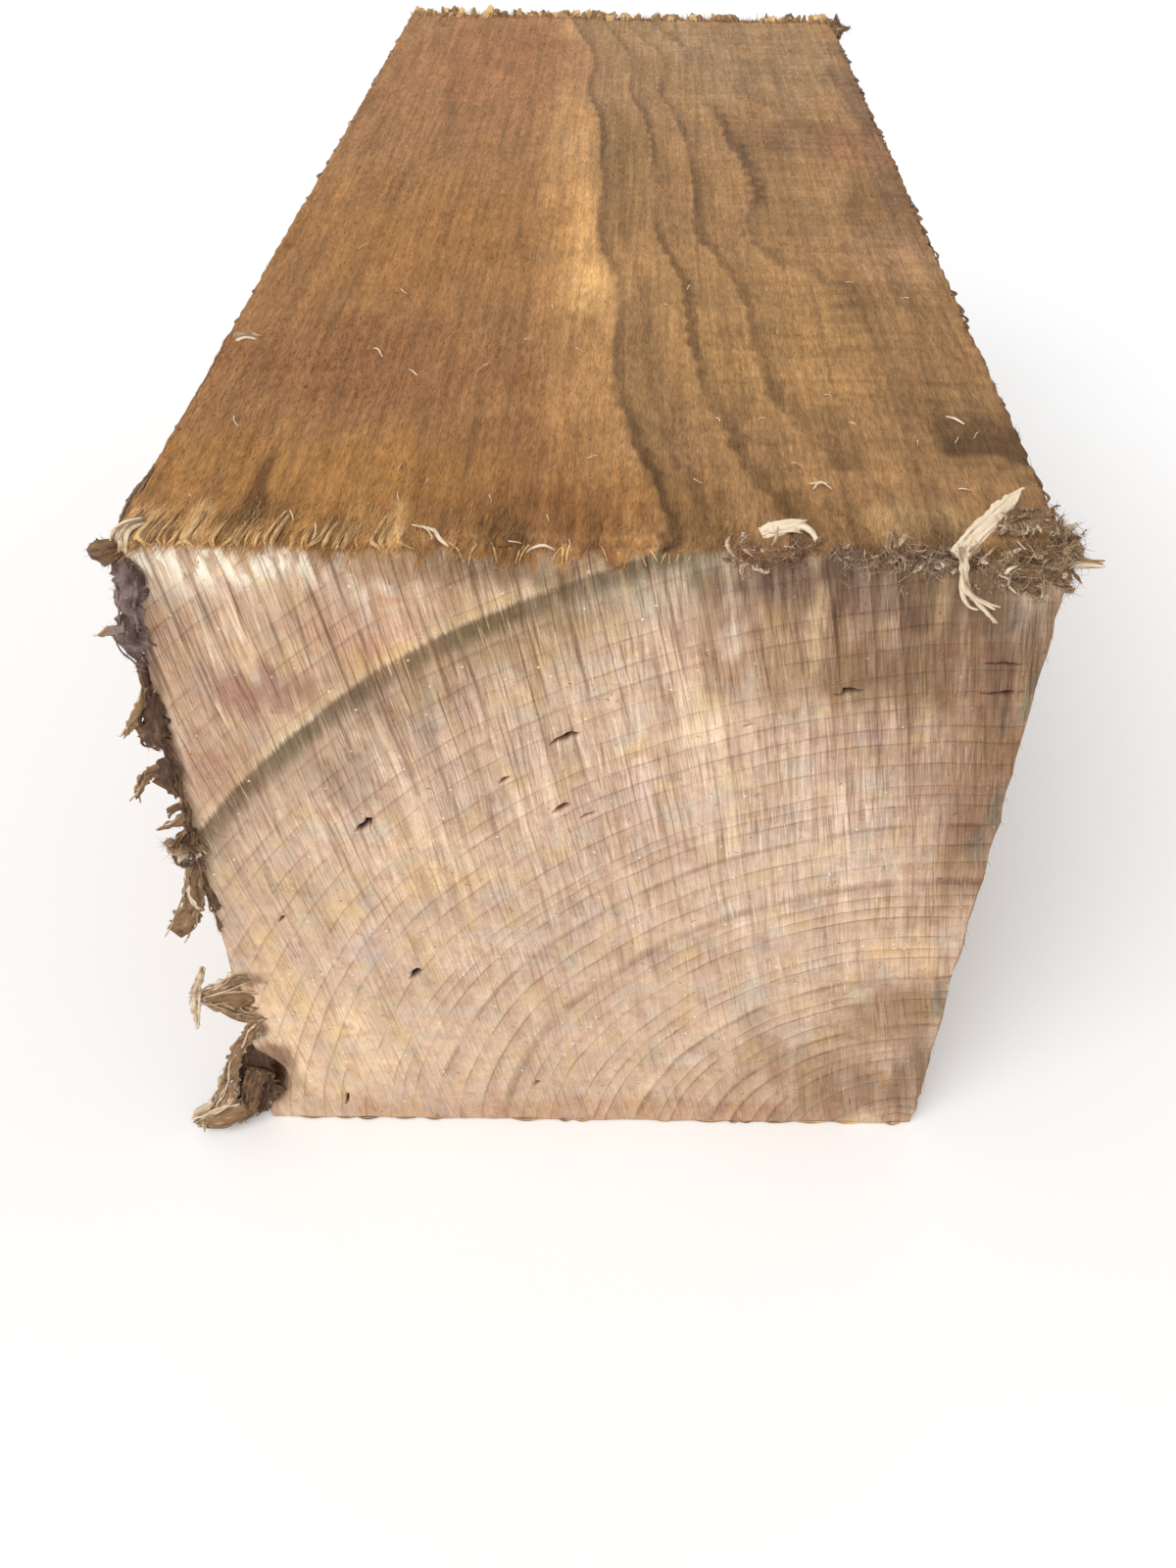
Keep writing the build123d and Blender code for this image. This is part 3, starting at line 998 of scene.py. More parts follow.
    score = g.most(g.times(cuts, g.plus(0.5, g.times(torn, 0.5))), g.times(thin, 0.5))
    score = g.most(score, g.times(fine, 0.75))
    colour = g.mix(g.times(score, 0.72), colour, dye(110, 80, 60))
    broken = g.ramp(g.noise(run, (3, DEEP, 16)), 0.44, 0.60)
    pale_cuts = g.times(g.lines(g.plus(lean, 40.0), 3.9, 0.5), broken)
    colour = g.mix(g.times(pale_cuts, g.ramp(z, 50, 90, 0.1, 0.36)), colour, dye(224, 190, 150))
    colour = g.tint(colour, g.noise(place, (0.16, 1, 0.16), 2.0, 0.7), 0.84, 1.16)
    colour = g.tint(colour, g.noise(place, (1.4, DEEP, 1.4), 3.0, 0.6), 0.90, 1.10)
    cells = g.vector("DIVIDE", place, (2.6, DEEP, 2.6))
    specks = g.add("ShaderNodeTexVoronoi", {"Vector": cells, "Scale": 1.0}).outputs["Distance"]
    colour = g.mix(g.ramp(specks, 0.09, 0.04, 0.0, 0.8), colour, dye(252, 238, 220))
    return colour, g.minus(g.times(streak, 0.5), score), wide


def wood_group(colours):
    """Node group with the wood's own colours, as a solid that any face cuts through."""
    tree = bpy.data.node_groups.new("wood", "ShaderNodeTree")
    for name, kind in (
        ("Long grain", "Color"), ("End grain", "Color"), ("Score", "Float"), ("Streak", "Float"),
        ("Fibre", "Float"),
    ):
        tree.interface.new_socket(name, in_out="OUTPUT", socket_type="NodeSocket" + kind)
    g = Graph(tree)
    place = g.vector("DIVIDE", g.add("ShaderNodeTexCoord").outputs["Object"], (MM, MM, MM))
    rings = ring_place(g, place)
    end, score, wide = end_grain(g, place, rings, colours)
    out = g.add("NodeGroupOutput")
    g.feed(out.inputs["Long grain"], long_grain(g, place, rings, colours))
    g.feed(out.inputs["End grain"], end)
    g.feed(out.inputs["Score"], score)
    g.feed(out.inputs["Streak"], wide)
    g.feed(out.inputs["Fibre"], g.noise(place, (0.2, 2.2, 0.2), 2.0, 0.6))
    return tree


def new_material(name, roughness):
    """Material with its Graph and its shader, rough as bare wood is."""
    material = bpy.data.materials.new(name)
    material.use_nodes = True
    shader = material.node_tree.nodes["Principled BSDF"]
    shader.inputs["Roughness"].default_value = roughness
    shader.inputs["Specular IOR Level"].default_value = 0.25
    return material, Graph(material.node_tree), shader


def sawn_wood(group):
    """Material of the block: end grain on the ends, long grain elsewhere, with its stains and painted shade
    laid over, and painted shade in its drying checks.
    """
    material, g, shader = new_material("sawn_wood", 0.85)
    wood = g.add("ShaderNodeGroup", node_tree=group).outputs
    on_end = g.attribute("end_grain")
    fibre = wood["Fibre"]
    long = g.tint(wood["Long grain"], fibre, 0.78, 1.22)
    colour = g.mix(on_end, long, wood["End grain"])
    strength = g.plus(1.0, g.times(g.ramp(wood["Streak"], 0.3, 0.7, -0.4, 0.35), on_end))
    wash = g.mix(strength, (1, 1, 1, 1), g.attribute("wash", "Color"))
    colour = g.vector("MULTIPLY", colour, wash)
    # Painted shade inside the drying checks
    colour = g.mix(g.ramp(g.attribute("check"), 0.1, 0.8), colour, dye(68, 50, 42))
    g.feed(shader.inputs["Base Color"], colour)
    height = g.plus(g.times(fibre, g.ramp(on_end, 1, 0)), g.times(wood["Score"], on_end))
    bump = g.add("ShaderNodeBump", {"Strength": 0.5, "Distance": 0.3 * MM, "Height": height})
    g.feed(shader.inputs["Normal"], bump.outputs[0])
    return material


def wool(name, group, colours, paleness, shades):
    """Material of loose fibres: the wood they grow from, paler where it is freshly torn."""
    material, g, shader = new_material(name, 0.75)
    wood = g.add("ShaderNodeGroup", node_tree=group).outputs
    shade = g.attribute("fibre_shade")
    # The fibres take the block's stains and painted shade where they grow
    colour = g.vector("MULTIPLY", wood["Long grain"], g.attribute("wash", "Color"))
    fresh = g.times(g.ramp(shade, *paleness), g.attribute("fresh"))
    colour = g.mix(fresh, colour, rgba(colours.fibre))
    other = g.math("FRACT", g.times(shade, 7.0))
    g.feed(shader.inputs["Base Color"], g.scale(colour, g.ramp(other, 0, 1, *shades)))
    return material


def matted_felt(name, dark, light, pale):
    """Material of matted fibres: each fibre has its own shade between dark and light, a few are pale."""
    material, g, shader = new_material(name, 0.9)
    shade = g.attribute("fibre_shade")
    x = g.parts(g.add("ShaderNodeTexCoord").outputs["Object"])[0]
    light = g.mix(g.ramp(x, 39 * MM, 43 * MM), rgba(light), dye(190, 160, 120))
    light = g.mix(g.band(x, 10 * MM, 13 * MM, 19 * MM, 24 * MM), light, dye(204, 152, 122))
    colour = g.mix(g.ramp(shade, 0.1, 1.0), rgba(dark), light)
    g.feed(shader.inputs["Base Color"], g.mix(g.ramp(shade, 0.88, 1.0, 0.0, 0.8), colour, rgba(pale)))
    return material


def torn_wood(name, colours, pale):
    """Material of torn strips: weathered dark to fresh pale, streaked along each strip."""
    material, g, shader = new_material(name, 0.85)
    tone = g.attribute("tone")
    strip = g.attribute("strip", "Vector")
    streak = g.noise(strip, (1.6, 0.22, 1.0), 3.0, 0.6)
    patch = g.noise(strip, (2.5, 1.2, 1.0), 2.0)
    vary = g.ramp(tone, 0.6, 1.0, 1.1, 0.5)
    level = g.plus(tone, g.sway(streak, vary))
    level = g.plus(level, g.sway(patch, vary, 0.5))
    colour = g.mix(g.ramp(level, 0.0, 0.5), rgba(colours.torn_dark), rgba(colours.torn_brown))
    colour = g.mix(g.ramp(level, 0.5, 1.0), colour, rgba(pale))
    worn = g.mix(g.ramp(patch, 0.38, 0.62), dye(86, 68, 64), dye(146, 126, 122))
    colour = g.mix(g.times(g.attribute("felt"), 0.85), colour, worn)
    g.feed(shader.inputs["Base Color"], colour)
    bump = g.add("ShaderNodeBump", {"Strength": 0.7, "Distance": 0.3 * MM, "Height": streak})
    g.feed(shader.inputs["Normal"], bump.outputs[0])
    return material


# Torn strips of wood

# Tongues of the lip on the left arris: tone, from 0 for weathered wood to 1 for fresh wood, number of
# loose strands, then rows of across, up, out of the near cut, width and thickness
LIP_STRIPS = (
    (0.20, 0, ((-49.2, 103.4, 0.2, 1.6, 1.4), (-50.0, 103.5, 0.4, 2.4, 2.2), (-50.7, 103.5, 0.5, 2.8, 2.6),
               (-51.4, 103.5, 0.5, 2.4, 2.2), (-51.9, 103.4, 0.4, 1.0, 1.0))),
    (0.12, 2, ((-49.2, 102.0, 0.0, 1.4, 1.0), (-49.3, 99.6, 0.2, 2.6, 1.3), (-49.7, 97.4, 0.2, 2.4, 1.3),
               (-50.1, 94.8, 0.2, 2.2, 1.2), (-50.7, 92.4, 0.3, 3.6, 1.3), (-51.0, 90.8, 0.3, 3.0, 1.2),
               (-50.5, 88.9, 0.1, 0.7, 0.6))),
    (0.45, 2, ((-51.0, 92.8, 0.3, 1.8, 0.9), (-52.6, 92.9, 0.4, 1.2, 0.7), (-54.0, 92.6, 0.5, 0.3, 0.3))),
    (0.12, 4, ((-50.1, 89.0, -0.2, 0.9, 0.8), (-50.4, 86.0, -0.2, 1.2, 0.8), (-50.2, 80.0, -0.2, 1.0, 0.8),
               (-50.1, 74.6, -0.2, 0.8, 0.7), (-50.0, 66.0, -0.2, 0.9, 0.7), (-50.2, 58.0, -0.2, 1.2, 0.9),
               (-49.8, 50.0, -0.4, 1.2, 0.8), (-49.5, 45.0, -0.5, 1.2, 0.8), (-49.1, 39.0, -0.8, 0.8, 0.6))),
    (0.42, 2, ((-50.5, 85.0, 0.0, 0.6, 0.5), (-51.6, 82.2, 0.2, 1.1, 0.6), (-53.2, 79.6, 0.4, 1.0, 0.5),
               (-54.7, 77.9, 0.6, 0.3, 0.3))),
    (0.08, 3, ((-50.1, 84.0, 0.1, 0.8, 0.7), (-50.6, 81.5, 0.2, 2.4, 1.0), (-51.0, 79.0, 0.3, 3.4, 1.1),
               (-51.2, 77.2, 0.3, 3.0, 1.0), (-50.5, 75.6, 0.1, 0.8, 0.6))),
    (0.08, 3, ((-50.0, 74.6, 0.1, 0.9, 0.7), (-50.6, 73.0, 0.2, 2.6, 1.0), (-51.0, 71.2, 0.3, 3.0, 1.0),
               (-50.9, 69.6, 0.2, 1.6, 0.8), (-50.4, 68.5, 0.1, 0.6, 0.5))),
    (0.35, 2, ((-50.8, 72.8, 0.3, 1.6, 0.8), (-52.6, 72.2, 0.5, 1.4, 0.7), (-53.8, 71.2, 0.6, 1.2, 0.6),
               (-54.6, 69.6, 0.7, 0.9, 0.5), (-55.3, 68.0, 0.8, 0.3, 0.3))),
    (0.20, 2, ((-50.2, 66.6, 0.1, 1.0, 0.7), (-51.4, 66.0, 0.2, 1.0, 0.6), (-51.9, 65.4, 0.3, 0.4, 0.3))),
    (0.30, 2, ((-50.2, 64.6, 0.1, 1.6, 0.8), (-51.6, 64.0, 0.3, 1.3, 0.6), (-52.8, 63.5, 0.4, 0.7, 0.4),
               (-53.9, 63.1, 0.5, 0.25, 0.25))),
    (0.12, 6, ((-50.0, 62.6, 0.1, 0.9, 0.7), (-51.0, 61.0, 0.3, 2.6, 1.2), (-51.4, 59.0, 0.4, 3.2, 1.4),
               (-51.4, 57.4, 0.4, 2.6, 1.2), (-50.8, 56.2, 0.2, 0.8, 0.6))),
    (0.30, 5, ((-50.4, 57.0, 0.0, 1.6, 0.9), (-51.2, 53.5, 0.2, 2.2, 1.0), (-52.0, 49.8, 0.4, 2.8, 1.1),
               (-53.6, 46.8, 0.7, 3.0, 1.1), (-55.1, 44.2, 1.0, 2.6, 0.9))),
    (0.85, 0, ((-51.8, 54.5, 0.6, 0.4, 0.3), (-52.4, 51.8, 0.9, 0.6, 0.3), (-51.8, 49.6, 1.0, 0.5, 0.3),
               (-51.2, 48.6, 0.9, 0.3, 0.3))),
    (0.50, 6, ((-47.4, 33.6, -0.6, 1.6, 0.6), (-49.6, 33.0, 0.0, 2.4, 1.0), (-51.4, 32.0, 0.2, 2.0, 1.1),
               (-53.4, 31.2, 0.5, 1.6, 0.9), (-55.2, 30.6, 0.8, 1.2, 0.6))),
    (0.50, 6, ((-46.2, 24.4, -0.6, 1.4, 0.6), (-48.8, 24.8, 0.0, 2.0, 0.9), (-51.0, 26.0, 0.2, 2.0, 1.0),
               (-52.6, 27.8, 0.4, 2.0, 0.9), (-54.4, 29.2, 0.6, 1.6, 0.7), (-55.4, 29.8, 0.8, 0.8, 0.5))),
    (0.35, 5, ((-46.8, 27.8, -0.7, 4.0, 0.8), (-48.8, 28.6, -0.2, 5.4, 1.0), (-50.6, 29.3, 0.0, 4.4, 1.1),
               (-52.4, 29.8, 0.3, 2.6, 0.9), (-54.0, 30.2, 0.6, 1.4, 0.6))),
    (0.75, 4, ((-53.6, 36.1, 0.6, 0.3, 0.3), (-54.9, 33.0, 0.8, 1.0, 0.5), (-55.6, 30.2, 0.9, 1.3, 0.6),
               (-56.1, 27.4, 0.9, 1.0, 0.5), (-56.5, 24.4, 0.9, 0.3, 0.3))),
    (0.50, 5, ((-47.6, 24.2, -0.6, 1.2, 0.7), (-49.2, 22.2, 0.0, 1.7, 1.0), (-50.6, 19.8, 0.2, 1.8, 1.1),
               (-52.8, 15.8, 0.5, 1.8, 1.1), (-54.0, 11.8, 0.8, 2.4, 1.4), (-55.4, 7.8, 1.2, 3.2, 1.8),
               (-57.2, 4.6, 1.5, 2.6, 1.6))),
    (0.50, 6, ((-52.8, 5.0, 0.8, 3.0, 2.2), (-55.2, 4.0, 1.3, 4.6, 2.8), (-57.8, 2.9, 1.7, 4.2, 2.6),
               (-60.0, 2.0, 1.9, 2.6, 1.8), (-60.9, 1.6, 1.9, 0.9, 0.9))),
    (0.65, 3, ((-53.4, 9.0, 1.4, 0.8, 0.6), (-55.6, 6.0, 2.2, 1.0, 0.7), (-58.0, 4.6, 2.6, 0.9, 0.6),
               (-60.2, 2.6, 2.4, 0.4, 0.4))),
    (0.25, 6, ((-50.0, 12.0, -0.3, 3.0, 1.2), (-51.6, 7.5, 0.3, 3.4, 1.3), (-53.0, 3.6, 0.8, 2.8, 1.2),
               (-54.2, 1.2, 1.2, 1.6, 0.8))),
    (0.05, 4, ((-49.4, 19.0, -1.4, 2.4, 1.0), (-50.4, 14.0, -1.4, 4.6, 1.2), (-51.4, 9.0, -1.0, 6.0, 1.2),
               (-52.4, 4.5, -0.6, 6.0, 1.2), (-53.4, 1.4, -0.2, 4.0, 1.0))),
)

# Splinters and chips on the top: tone, number of loose strands, then rows of across, along from the
# near cut, above the top, width and thickness
TOP_STRIPS = (
    (0.97, 5, ((37.6, 0.4, -0.6, 1.5, 0.6), (40.0, 3.3, 0.2, 1.7, 0.7), (43.0, 6.8, 0.8, 1.7, 0.7),
               (45.0, 9.2, 1.2, 1.2, 0.5), (46.2, 10.6, 1.4, 0.3, 0.3))),
    (0.70, 3, ((38.8, 0.4, -0.9, 0.9, 0.5), (42.0, 4.2, 0.0, 1.0, 0.5), (45.0, 7.8, 0.7, 0.5, 0.3))),
    (0.92, 3, ((38.4, 1.2, -0.2, 1.0, 0.5), (38.6, -0.5, -1.2, 1.1, 0.45), (38.9, -0.7, -2.8, 0.9, 0.4),
               (39.6, -0.8, -4.4, 0.7, 0.35), (41.2, -0.9, -5.4, 0.5, 0.3), (42.8, -1.0, -5.9, 0.2, 0.2))),
    (0.85, 2, ((38.6, -0.4, -1.6, 0.6, 0.3), (39.2, -0.8, -3.6, 0.6, 0.3), (40.4, -1.0, -5.2, 0.5, 0.3),
               (41.8, -1.1, -6.6, 0.4, 0.25), (42.8, -1.1, -7.6, 0.2, 0.2))),
    (0.80, 0, ((38.5, -0.5, -2.0, 0.5, 0.3), (38.9, -0.9, -4.4, 0.5, 0.3), (40.0, -1.0, -6.0, 0.4, 0.25),
               (41.0, -1.0, -6.4, 0.2, 0.2))),
    (0.55, 3, ((-48.6, 49.8, -0.2, 1.2, 0.6), (-47.8, 50.0, 0.3, 1.6, 0.7), (-46.6, 50.2, 0.3, 1.4, 0.6),
               (-45.4, 50.2, 0.0, 0.8, 0.4))),
    (0.97, 5, ((17.6, 2.8, 0.0, 1.3, 0.5), (18.6, 3.1, 0.3, 1.7, 0.7), (20.6, 3.8, 0.4, 1.7, 0.7),
               (22.0, 4.2, 0.3, 1.3, 0.5))),
    (0.85, 2, ((21.4, 4.0, 0.4, 0.5, 0.3), (22.4, 3.6, 0.6, 0.5, 0.3), (23.2, 2.4, 0.3, 0.4, 0.3),
               (23.6, 1.4, -0.2, 0.2, 0.2))),
    (0.85, 0, ((-19.2, 3.4, 0.1, 0.2, 0.2), (-17.8, 2.3, 0.5, 0.3, 0.25), (-16.5, 1.3, 0.7, 0.35, 0.25),
               (-15.9, 0.3, 0.4, 0.38, 0.25), (-15.0, 0.1, -0.4, 0.25, 0.2))),
    (0.08, 3, ((-49.9, 2.2, -0.7, 0.7, 0.6), (-50.3, 7.0, -0.6, 1.0, 0.7), (-50.2, 12.0, -0.6, 0.9, 0.6),
               (-49.9, 17.0, -0.7, 0.4, 0.4))),
    (0.85, 0, ((-7.0, 0.35, -1.2, 0.18, 0.15), (-6.3, 0.2, -0.5, 0.23, 0.2), (-5.2, 0.1, -0.1, 0.27, 0.2),
               (-4.4, 0.2, -0.4, 0.22, 0.15), (-3.9, 0.4, -0.9, 0.15, 0.15))),
    (0.64, 12, ((-47.4, 3.6, -0.1, 0.7, 0.4), (-48.3, 1.8, 0.3, 1.5, 0.7), (-48.9, 0.4, 0.1, 1.9, 0.9),
               (-49.0, -0.4, -0.9, 1.3, 0.7))),
    (0.45, 4, ((48.6, 1.8, -1.8, 1.6, 1.0), (51.0, 1.2, -1.7, 1.1, 0.7), (53.4, 0.6, -1.6, 0.5, 0.4))),
    (0.90, 0, ((41.8, 30.6, 0.1, 0.2, 0.15), (42.6, 29.6, 0.4, 0.3, 0.2), (43.6, 28.4, 0.2, 0.2, 0.15))),
    (0.85, 0, ((23.6, 13.6, 0.1, 0.15, 0.15), (24.6, 13.0, 0.6, 0.2, 0.15), (25.8, 13.6, 0.2, 0.15, 0.15))),
    (0.85, 0, ((24.0, 12.2, 0.2, 0.15, 0.15), (24.8, 13.2, 0.6, 0.2, 0.15), (26.0, 12.4, 0.2, 0.15, 0.15))),
    (0.85, 0, ((-24.6, 41.0, 0.1, 0.15, 0.15), (-24.0, 40.2, 0.4, 0.2, 0.15),
               (-23.2, 39.4, 0.1, 0.15, 0.15))),
    (0.85, 0, ((-30.0, 47.4, 0.1, 0.15, 0.15), (-29.2, 46.4, 0.4, 0.2, 0.15),
               (-28.4, 44.8, 0.1, 0.15, 0.15))),
)

# Lumps of matted torn wood: middle (across, along from the near cut, above the top), half-size, count of
# curls, their greatest width and tone
LUMPS = (
    ((46.6, 2.0, -1.6), (4.6, 2.2, 2.2), 60, 1.0, 0.30),
    ((46.0, 0.6, -3.2), (5.0, 1.6, 2.2), 60, 0.8, 0.35),
    ((49.6, 3.0, -1.0), (1.6, 3.0, 1.6), 30, 1.0, 0.35),
    ((46.0, 4.6, -0.2), (4.2, 2.8, 0.8), 40, 0.7, 0.40),
    ((42.6, 0.8, -2.6), (2.4, 1.2, 1.8), 34, 0.7, 0.45),
    ((40.0, 0.6, -2.2), (1.6, 0.6, 1.5), 14, 0.6, 0.25),
    ((36.0, 0.4, -1.6), (2.6, 0.6, 1.3), 26, 0.7, 0.30),
    ((31.6, 0.3, -1.3), (2.2, 0.6, 1.4), 24, 0.7, 0.28),
    ((27.0, 0.3, -1.0), (2.4, 0.5, 0.9), 20, 0.6, 0.32),
    ((17.0, 0.2, -1.0), (3.0, 0.8, 1.4), 22, 0.8, 0.45),
    ((21.0, 1.0, -1.6), (3.0, 0.9, 1.2), 12, 0.9, 0.22),
    ((50.4, LENGTH - 6.0, -0.6), (0.9, 5.0, 0.9), 16, 1.8, 0.08),
    ((-51.6, -0.3, -45.0), (1.0, 0.6, 2.0), 14, 1.1, 0.20),
    ((-54.6, -1.0, -93.6), (0.8, 0.5, 1.2), 6, 0.9, 0.50),
    ((-56.6, -1.5, -101.6), (2.2, 0.7, 0.9), 12, 1.1, 0.50),
)


def curve_through(rows, count):
    """Smooth curve through rows of numbers, sampled evenly."""
    rows = np.asarray(rows, float)
    padded = np.vstack((2 * rows[0] - rows[1], rows, 2 * rows[-1] - rows[-2]))
    place = np.linspace(0, len(rows) - 1, count)
    whole = np.minimum(place.astype(int), len(rows) - 2)
    t = (place - whole)[:, None]
    a, b, c, d = (padded[whole + step] for step in range(4))
    cubic = 3 * b - a - 3 * c + d
    return b + t * (c - a + t * (2 * a - 5 * b + 4 * c - d + t * cubic)) / 2


# Directions that the flat side of a strip is turned to
OUTWARD = (0, -1, 0)
TILTED = (0, -0.6, 0.8)
BACK_TILTED = (0, -0.7, 0.7)
CURL_TILTED = (0.2, -0.6, 0.77)

# Part of the lip that is matted to grey felt: each pair is where it begins and where it is full
FELT_ACROSS = (-53.2, -52.2)
FELT_UP = (86, 90)
FELT_DOWN = (102.4, 101.4)
FELT_END = -45  # no felt to the right of this

THINNEST = 0.12  # least width and thickness of a strip
SOLE = 0.02  # height of the lowest torn wood over the floor
STRAY_COUNT = 40  # stray curly fibres on the top
PALE_SHARE = 0.12  # share of the curls in a lump that are fresh and pale


class TornStrips:
    """Closed ragged strips gathered in one mesh."""

    def __init__(self):
        self.points, self.polygons, self.tones, self.strips = [], [], [], []
        self.count = 0

    def add(self, rows, tone, facing, seed, sides=16, step=0.3, ragged=0.3, wander=0.0):
        """Strip along rows of x, y, z, width and thickness, its flat side turned to facing."""
        rows = np.asarray(rows, float)
        run = np.linalg.norm(np.diff(rows[:, :3], axis=0), axis=1).sum()
        count = max(int(run / step), 6)
        curve = curve_through(rows, count)
        middle, width, thickness = curve[:, :3], curve[:, 3], curve[:, 4]
        length = np.linspace(0, run, count)
        for axis in range(3):
            middle[:, axis] += wander * flat_noise(length, 0 * length + 7.3 * seed, (1.8, 1), seed + axis)
        forward = np.gradient(middle, axis=0)
        forward /= np.linalg.norm(forward, axis=1)[:, None]
        beside = np.cross(forward, facing)
        beside /= np.linalg.norm(beside, axis=1)[:, None]
        above = np.cross(beside, forward)
        turn = np.linspace(0, 2 * math.pi, sides, endpoint=False)
        far_grid, turn_grid = (grid.ravel() for grid in np.meshgrid(length, turn, indexing="ij"))
        edge = np.cos(turn_grid)
        wave = np.stack((far_grid, 3 * edge, 3 * np.sin(turn_grid) + 50 * seed), axis=1)
        grooves = grain_noise(wave, (4.0, 0.6, 0.6), seed)
        jags = flat_noise(far_grid, 5 * np.sign(edge) + 9.7 * seed, (0.55, 1), seed + 1) * np.abs(edge) ** 3
        rough = np.clip(1 + ragged * (grooves + 1.3 * jags), 0.3, 1.7).reshape(count, sides)
        half_width = np.clip(width, THINNEST, None)[:, None] / 2 * rough
        half_thick = np.clip(thickness, THINNEST, None)[:, None] / 2 * rough
        offset = beside[:, None] * (half_width * np.cos(turn))[..., None]
        lens = np.sin(turn) * np.abs(np.sin(turn)) ** 0.7
        offset = offset + above[:, None] * (half_thick * lens)[..., None]
        points = middle[:, None] + offset
        splits = flat_noise(np.cos(turn) * width[-1], 0 * turn + 3.1 * seed, (0.4, 1), seed + 2)
        points[-1] += forward[-1] * 0.6 * np.minimum(width[-1], 1.5) * splits[:, None]
        points = points.reshape(-1, 3)
        index = self.count + np.arange(count * sides).reshape(count, sides)
        after = np.roll(index, -1, axis=1)
        quads = np.stack((index[:-1], after[:-1], after[1:], index[1:]), axis=-1).reshape(-1, 4)
        self.polygons += [tuple(quad) for quad in quads.tolist()]
        self.polygons += [tuple(index[0][::-1].tolist()), tuple(index[-1].tolist())]
        self.points.append(points)
        self.tones.append(np.clip(tone + 0.35 * np.abs(edge) ** 12 + 0.2 * far_grid / run - 0.1, 0, 1))
        around = width.max() / 2 * turn_grid / math.pi
        self.strips.append(np.stack((far_grid, around, np.full_like(around, 7.0 * seed)), axis=1))
        self.count += len(points)

    def bundle(self, rows, tone, facing, seed, strands, wander=0.0):
        """Strip with thinner strands that run along it and part from it towards its tip."""
        ragged = 0.2 if tone > 0.9 else 0.3 + 0.5 * wander
        self.add(rows, tone, facing, seed, ragged=ragged, wander=wander)
        rows = np.asarray(rows, float)
        forward = np.gradient(rows[:, :3], axis=0)
        forward /= np.linalg.norm(forward, axis=1)[:, None]
        beside = np.cross(forward, facing)
        random = np.random.default_rng(seed)
        for number in range(strands):
            strand = rows.copy()
            strand[:, :3] += beside * random.uniform(-0.5, 0.5) * rows[:, 3:4]
            strand[:, :3] += np.array(facing) * random.uniform(0.1, 0.55) * rows[:, 4:5]
            strand[-1, :3] += forward[-1] * random.uniform(-0.3, 0.7) + beside[-1] * random.normal(0, 0.25)
            strand[:, 3] = random.uniform(0.25, 0.6) * np.linspace(1.2, 0.5, len(rows))
            strand[:, 4] = 0.28
            shade = tone + random.uniform(-0.15, 0.4)
            strand_seed = 1000 + 20 * seed + number
            self.add(strand, shade, facing, strand_seed, sides=6, step=0.4, ragged=0.25, wander=wander)

    def curl(self, random, start, heading, length, width, tone, seed, swing=0.5):
        """Short curly strip that wanders from its start."""
        place = np.array(start, float)
        heading = np.array(heading, float)
        rows = []
        for share in (0.5, 1.0, 1.0, 0.8, 0.2):
            rows.append((*place, width * share, 0.6 * width * share))
            place = place + heading / np.linalg.norm(heading) * length / 4
            heading = heading + np.linalg.norm(heading) * random.normal(0, swing, 3)
        self.add(rows, tone, CURL_TILTED, seed, sides=6, step=0.4, ragged=0.3)

    def mesh(self, name):
        """Mesh of all the strips, with what their material and fibres read."""
        mesh = bpy.data.meshes.new(name)
        points = np.concatenate(self.points)
        points[:, 2] = np.maximum(points[:, 2], SOLE)
        mesh.from_pydata((points * MM).tolist(), [], self.polygons)
        x, _, z = points.T
        felt = smooth(x, *FELT_ACROSS) * (x < FELT_END) * smooth(z, *FELT_UP) * smooth(z, *FELT_DOWN)
        tone = np.concatenate(self.tones)
        set_attributes(mesh, {"tone": tone, "burr": smooth(z, 1.0, 3.0), "felt": felt})
        layer = mesh.attributes.new("strip", "FLOAT_VECTOR", "POINT")
        layer.data.foreach_set("vector", np.concatenate(self.strips).astype(np.float32).ravel())
        close_outward(mesh)
        return mesh


def close_outward(mesh):
    """Turn every face of a closed mesh outwards and shade it smoothly."""
    bm = bmesh.new()
    bm.from_mesh(mesh)
    bmesh.ops.recalc_face_normals(bm, faces=bm.faces)
    bm.to_mesh(mesh)
    bm.free()
    mesh.shade_smooth()


def above_near(x, along, above):
    """Point given by its distance from the near cut and from the top."""
    return (x, near_y(x) + along, top_z(x) + above)


def lip_mesh():
    """Torn lip of the left arris, in the plane of the near cut."""
    strips = TornStrips()
    for seed, (tone, strands, rows) in enumerate(LIP_STRIPS, start=101):
        placed = [(x, near_y(x) - out, z, width, thick) for x, z, out, width, thick in rows]
        strips.bundle(placed, tone, OUTWARD, seed, strands, wander=0.35)
    return strips.mesh("torn_lip")


def splinter_mesh():
    """Splinters, chips and stray curly fibres on the top and its near arris."""
    strips = TornStrips()
    for seed, (tone, strands, rows) in enumerate(TOP_STRIPS, start=201):
        placed = [(*above_near(*row[:3]), *row[3:]) for row in rows]
        strips.bundle(placed, tone, TILTED, seed, strands)
    random = np.random.default_rng(7)
    for seed in range(301, 301 + STRAY_COUNT):
        x = random.uniform(-46, 46)
        along = 90 * random.uniform(0.02, 1) ** 2.5
        turn = random.normal(math.pi / 2, 0.8)
        heading = (math.cos(turn), math.sin(turn), 0.25)
        start, length = above_near(x, along, 0.1), random.uniform(0.8, 2.2)
        strips.curl(random, start, heading, length, 0.11, 0.8, seed, 0.25)
    return strips.mesh("splinters")


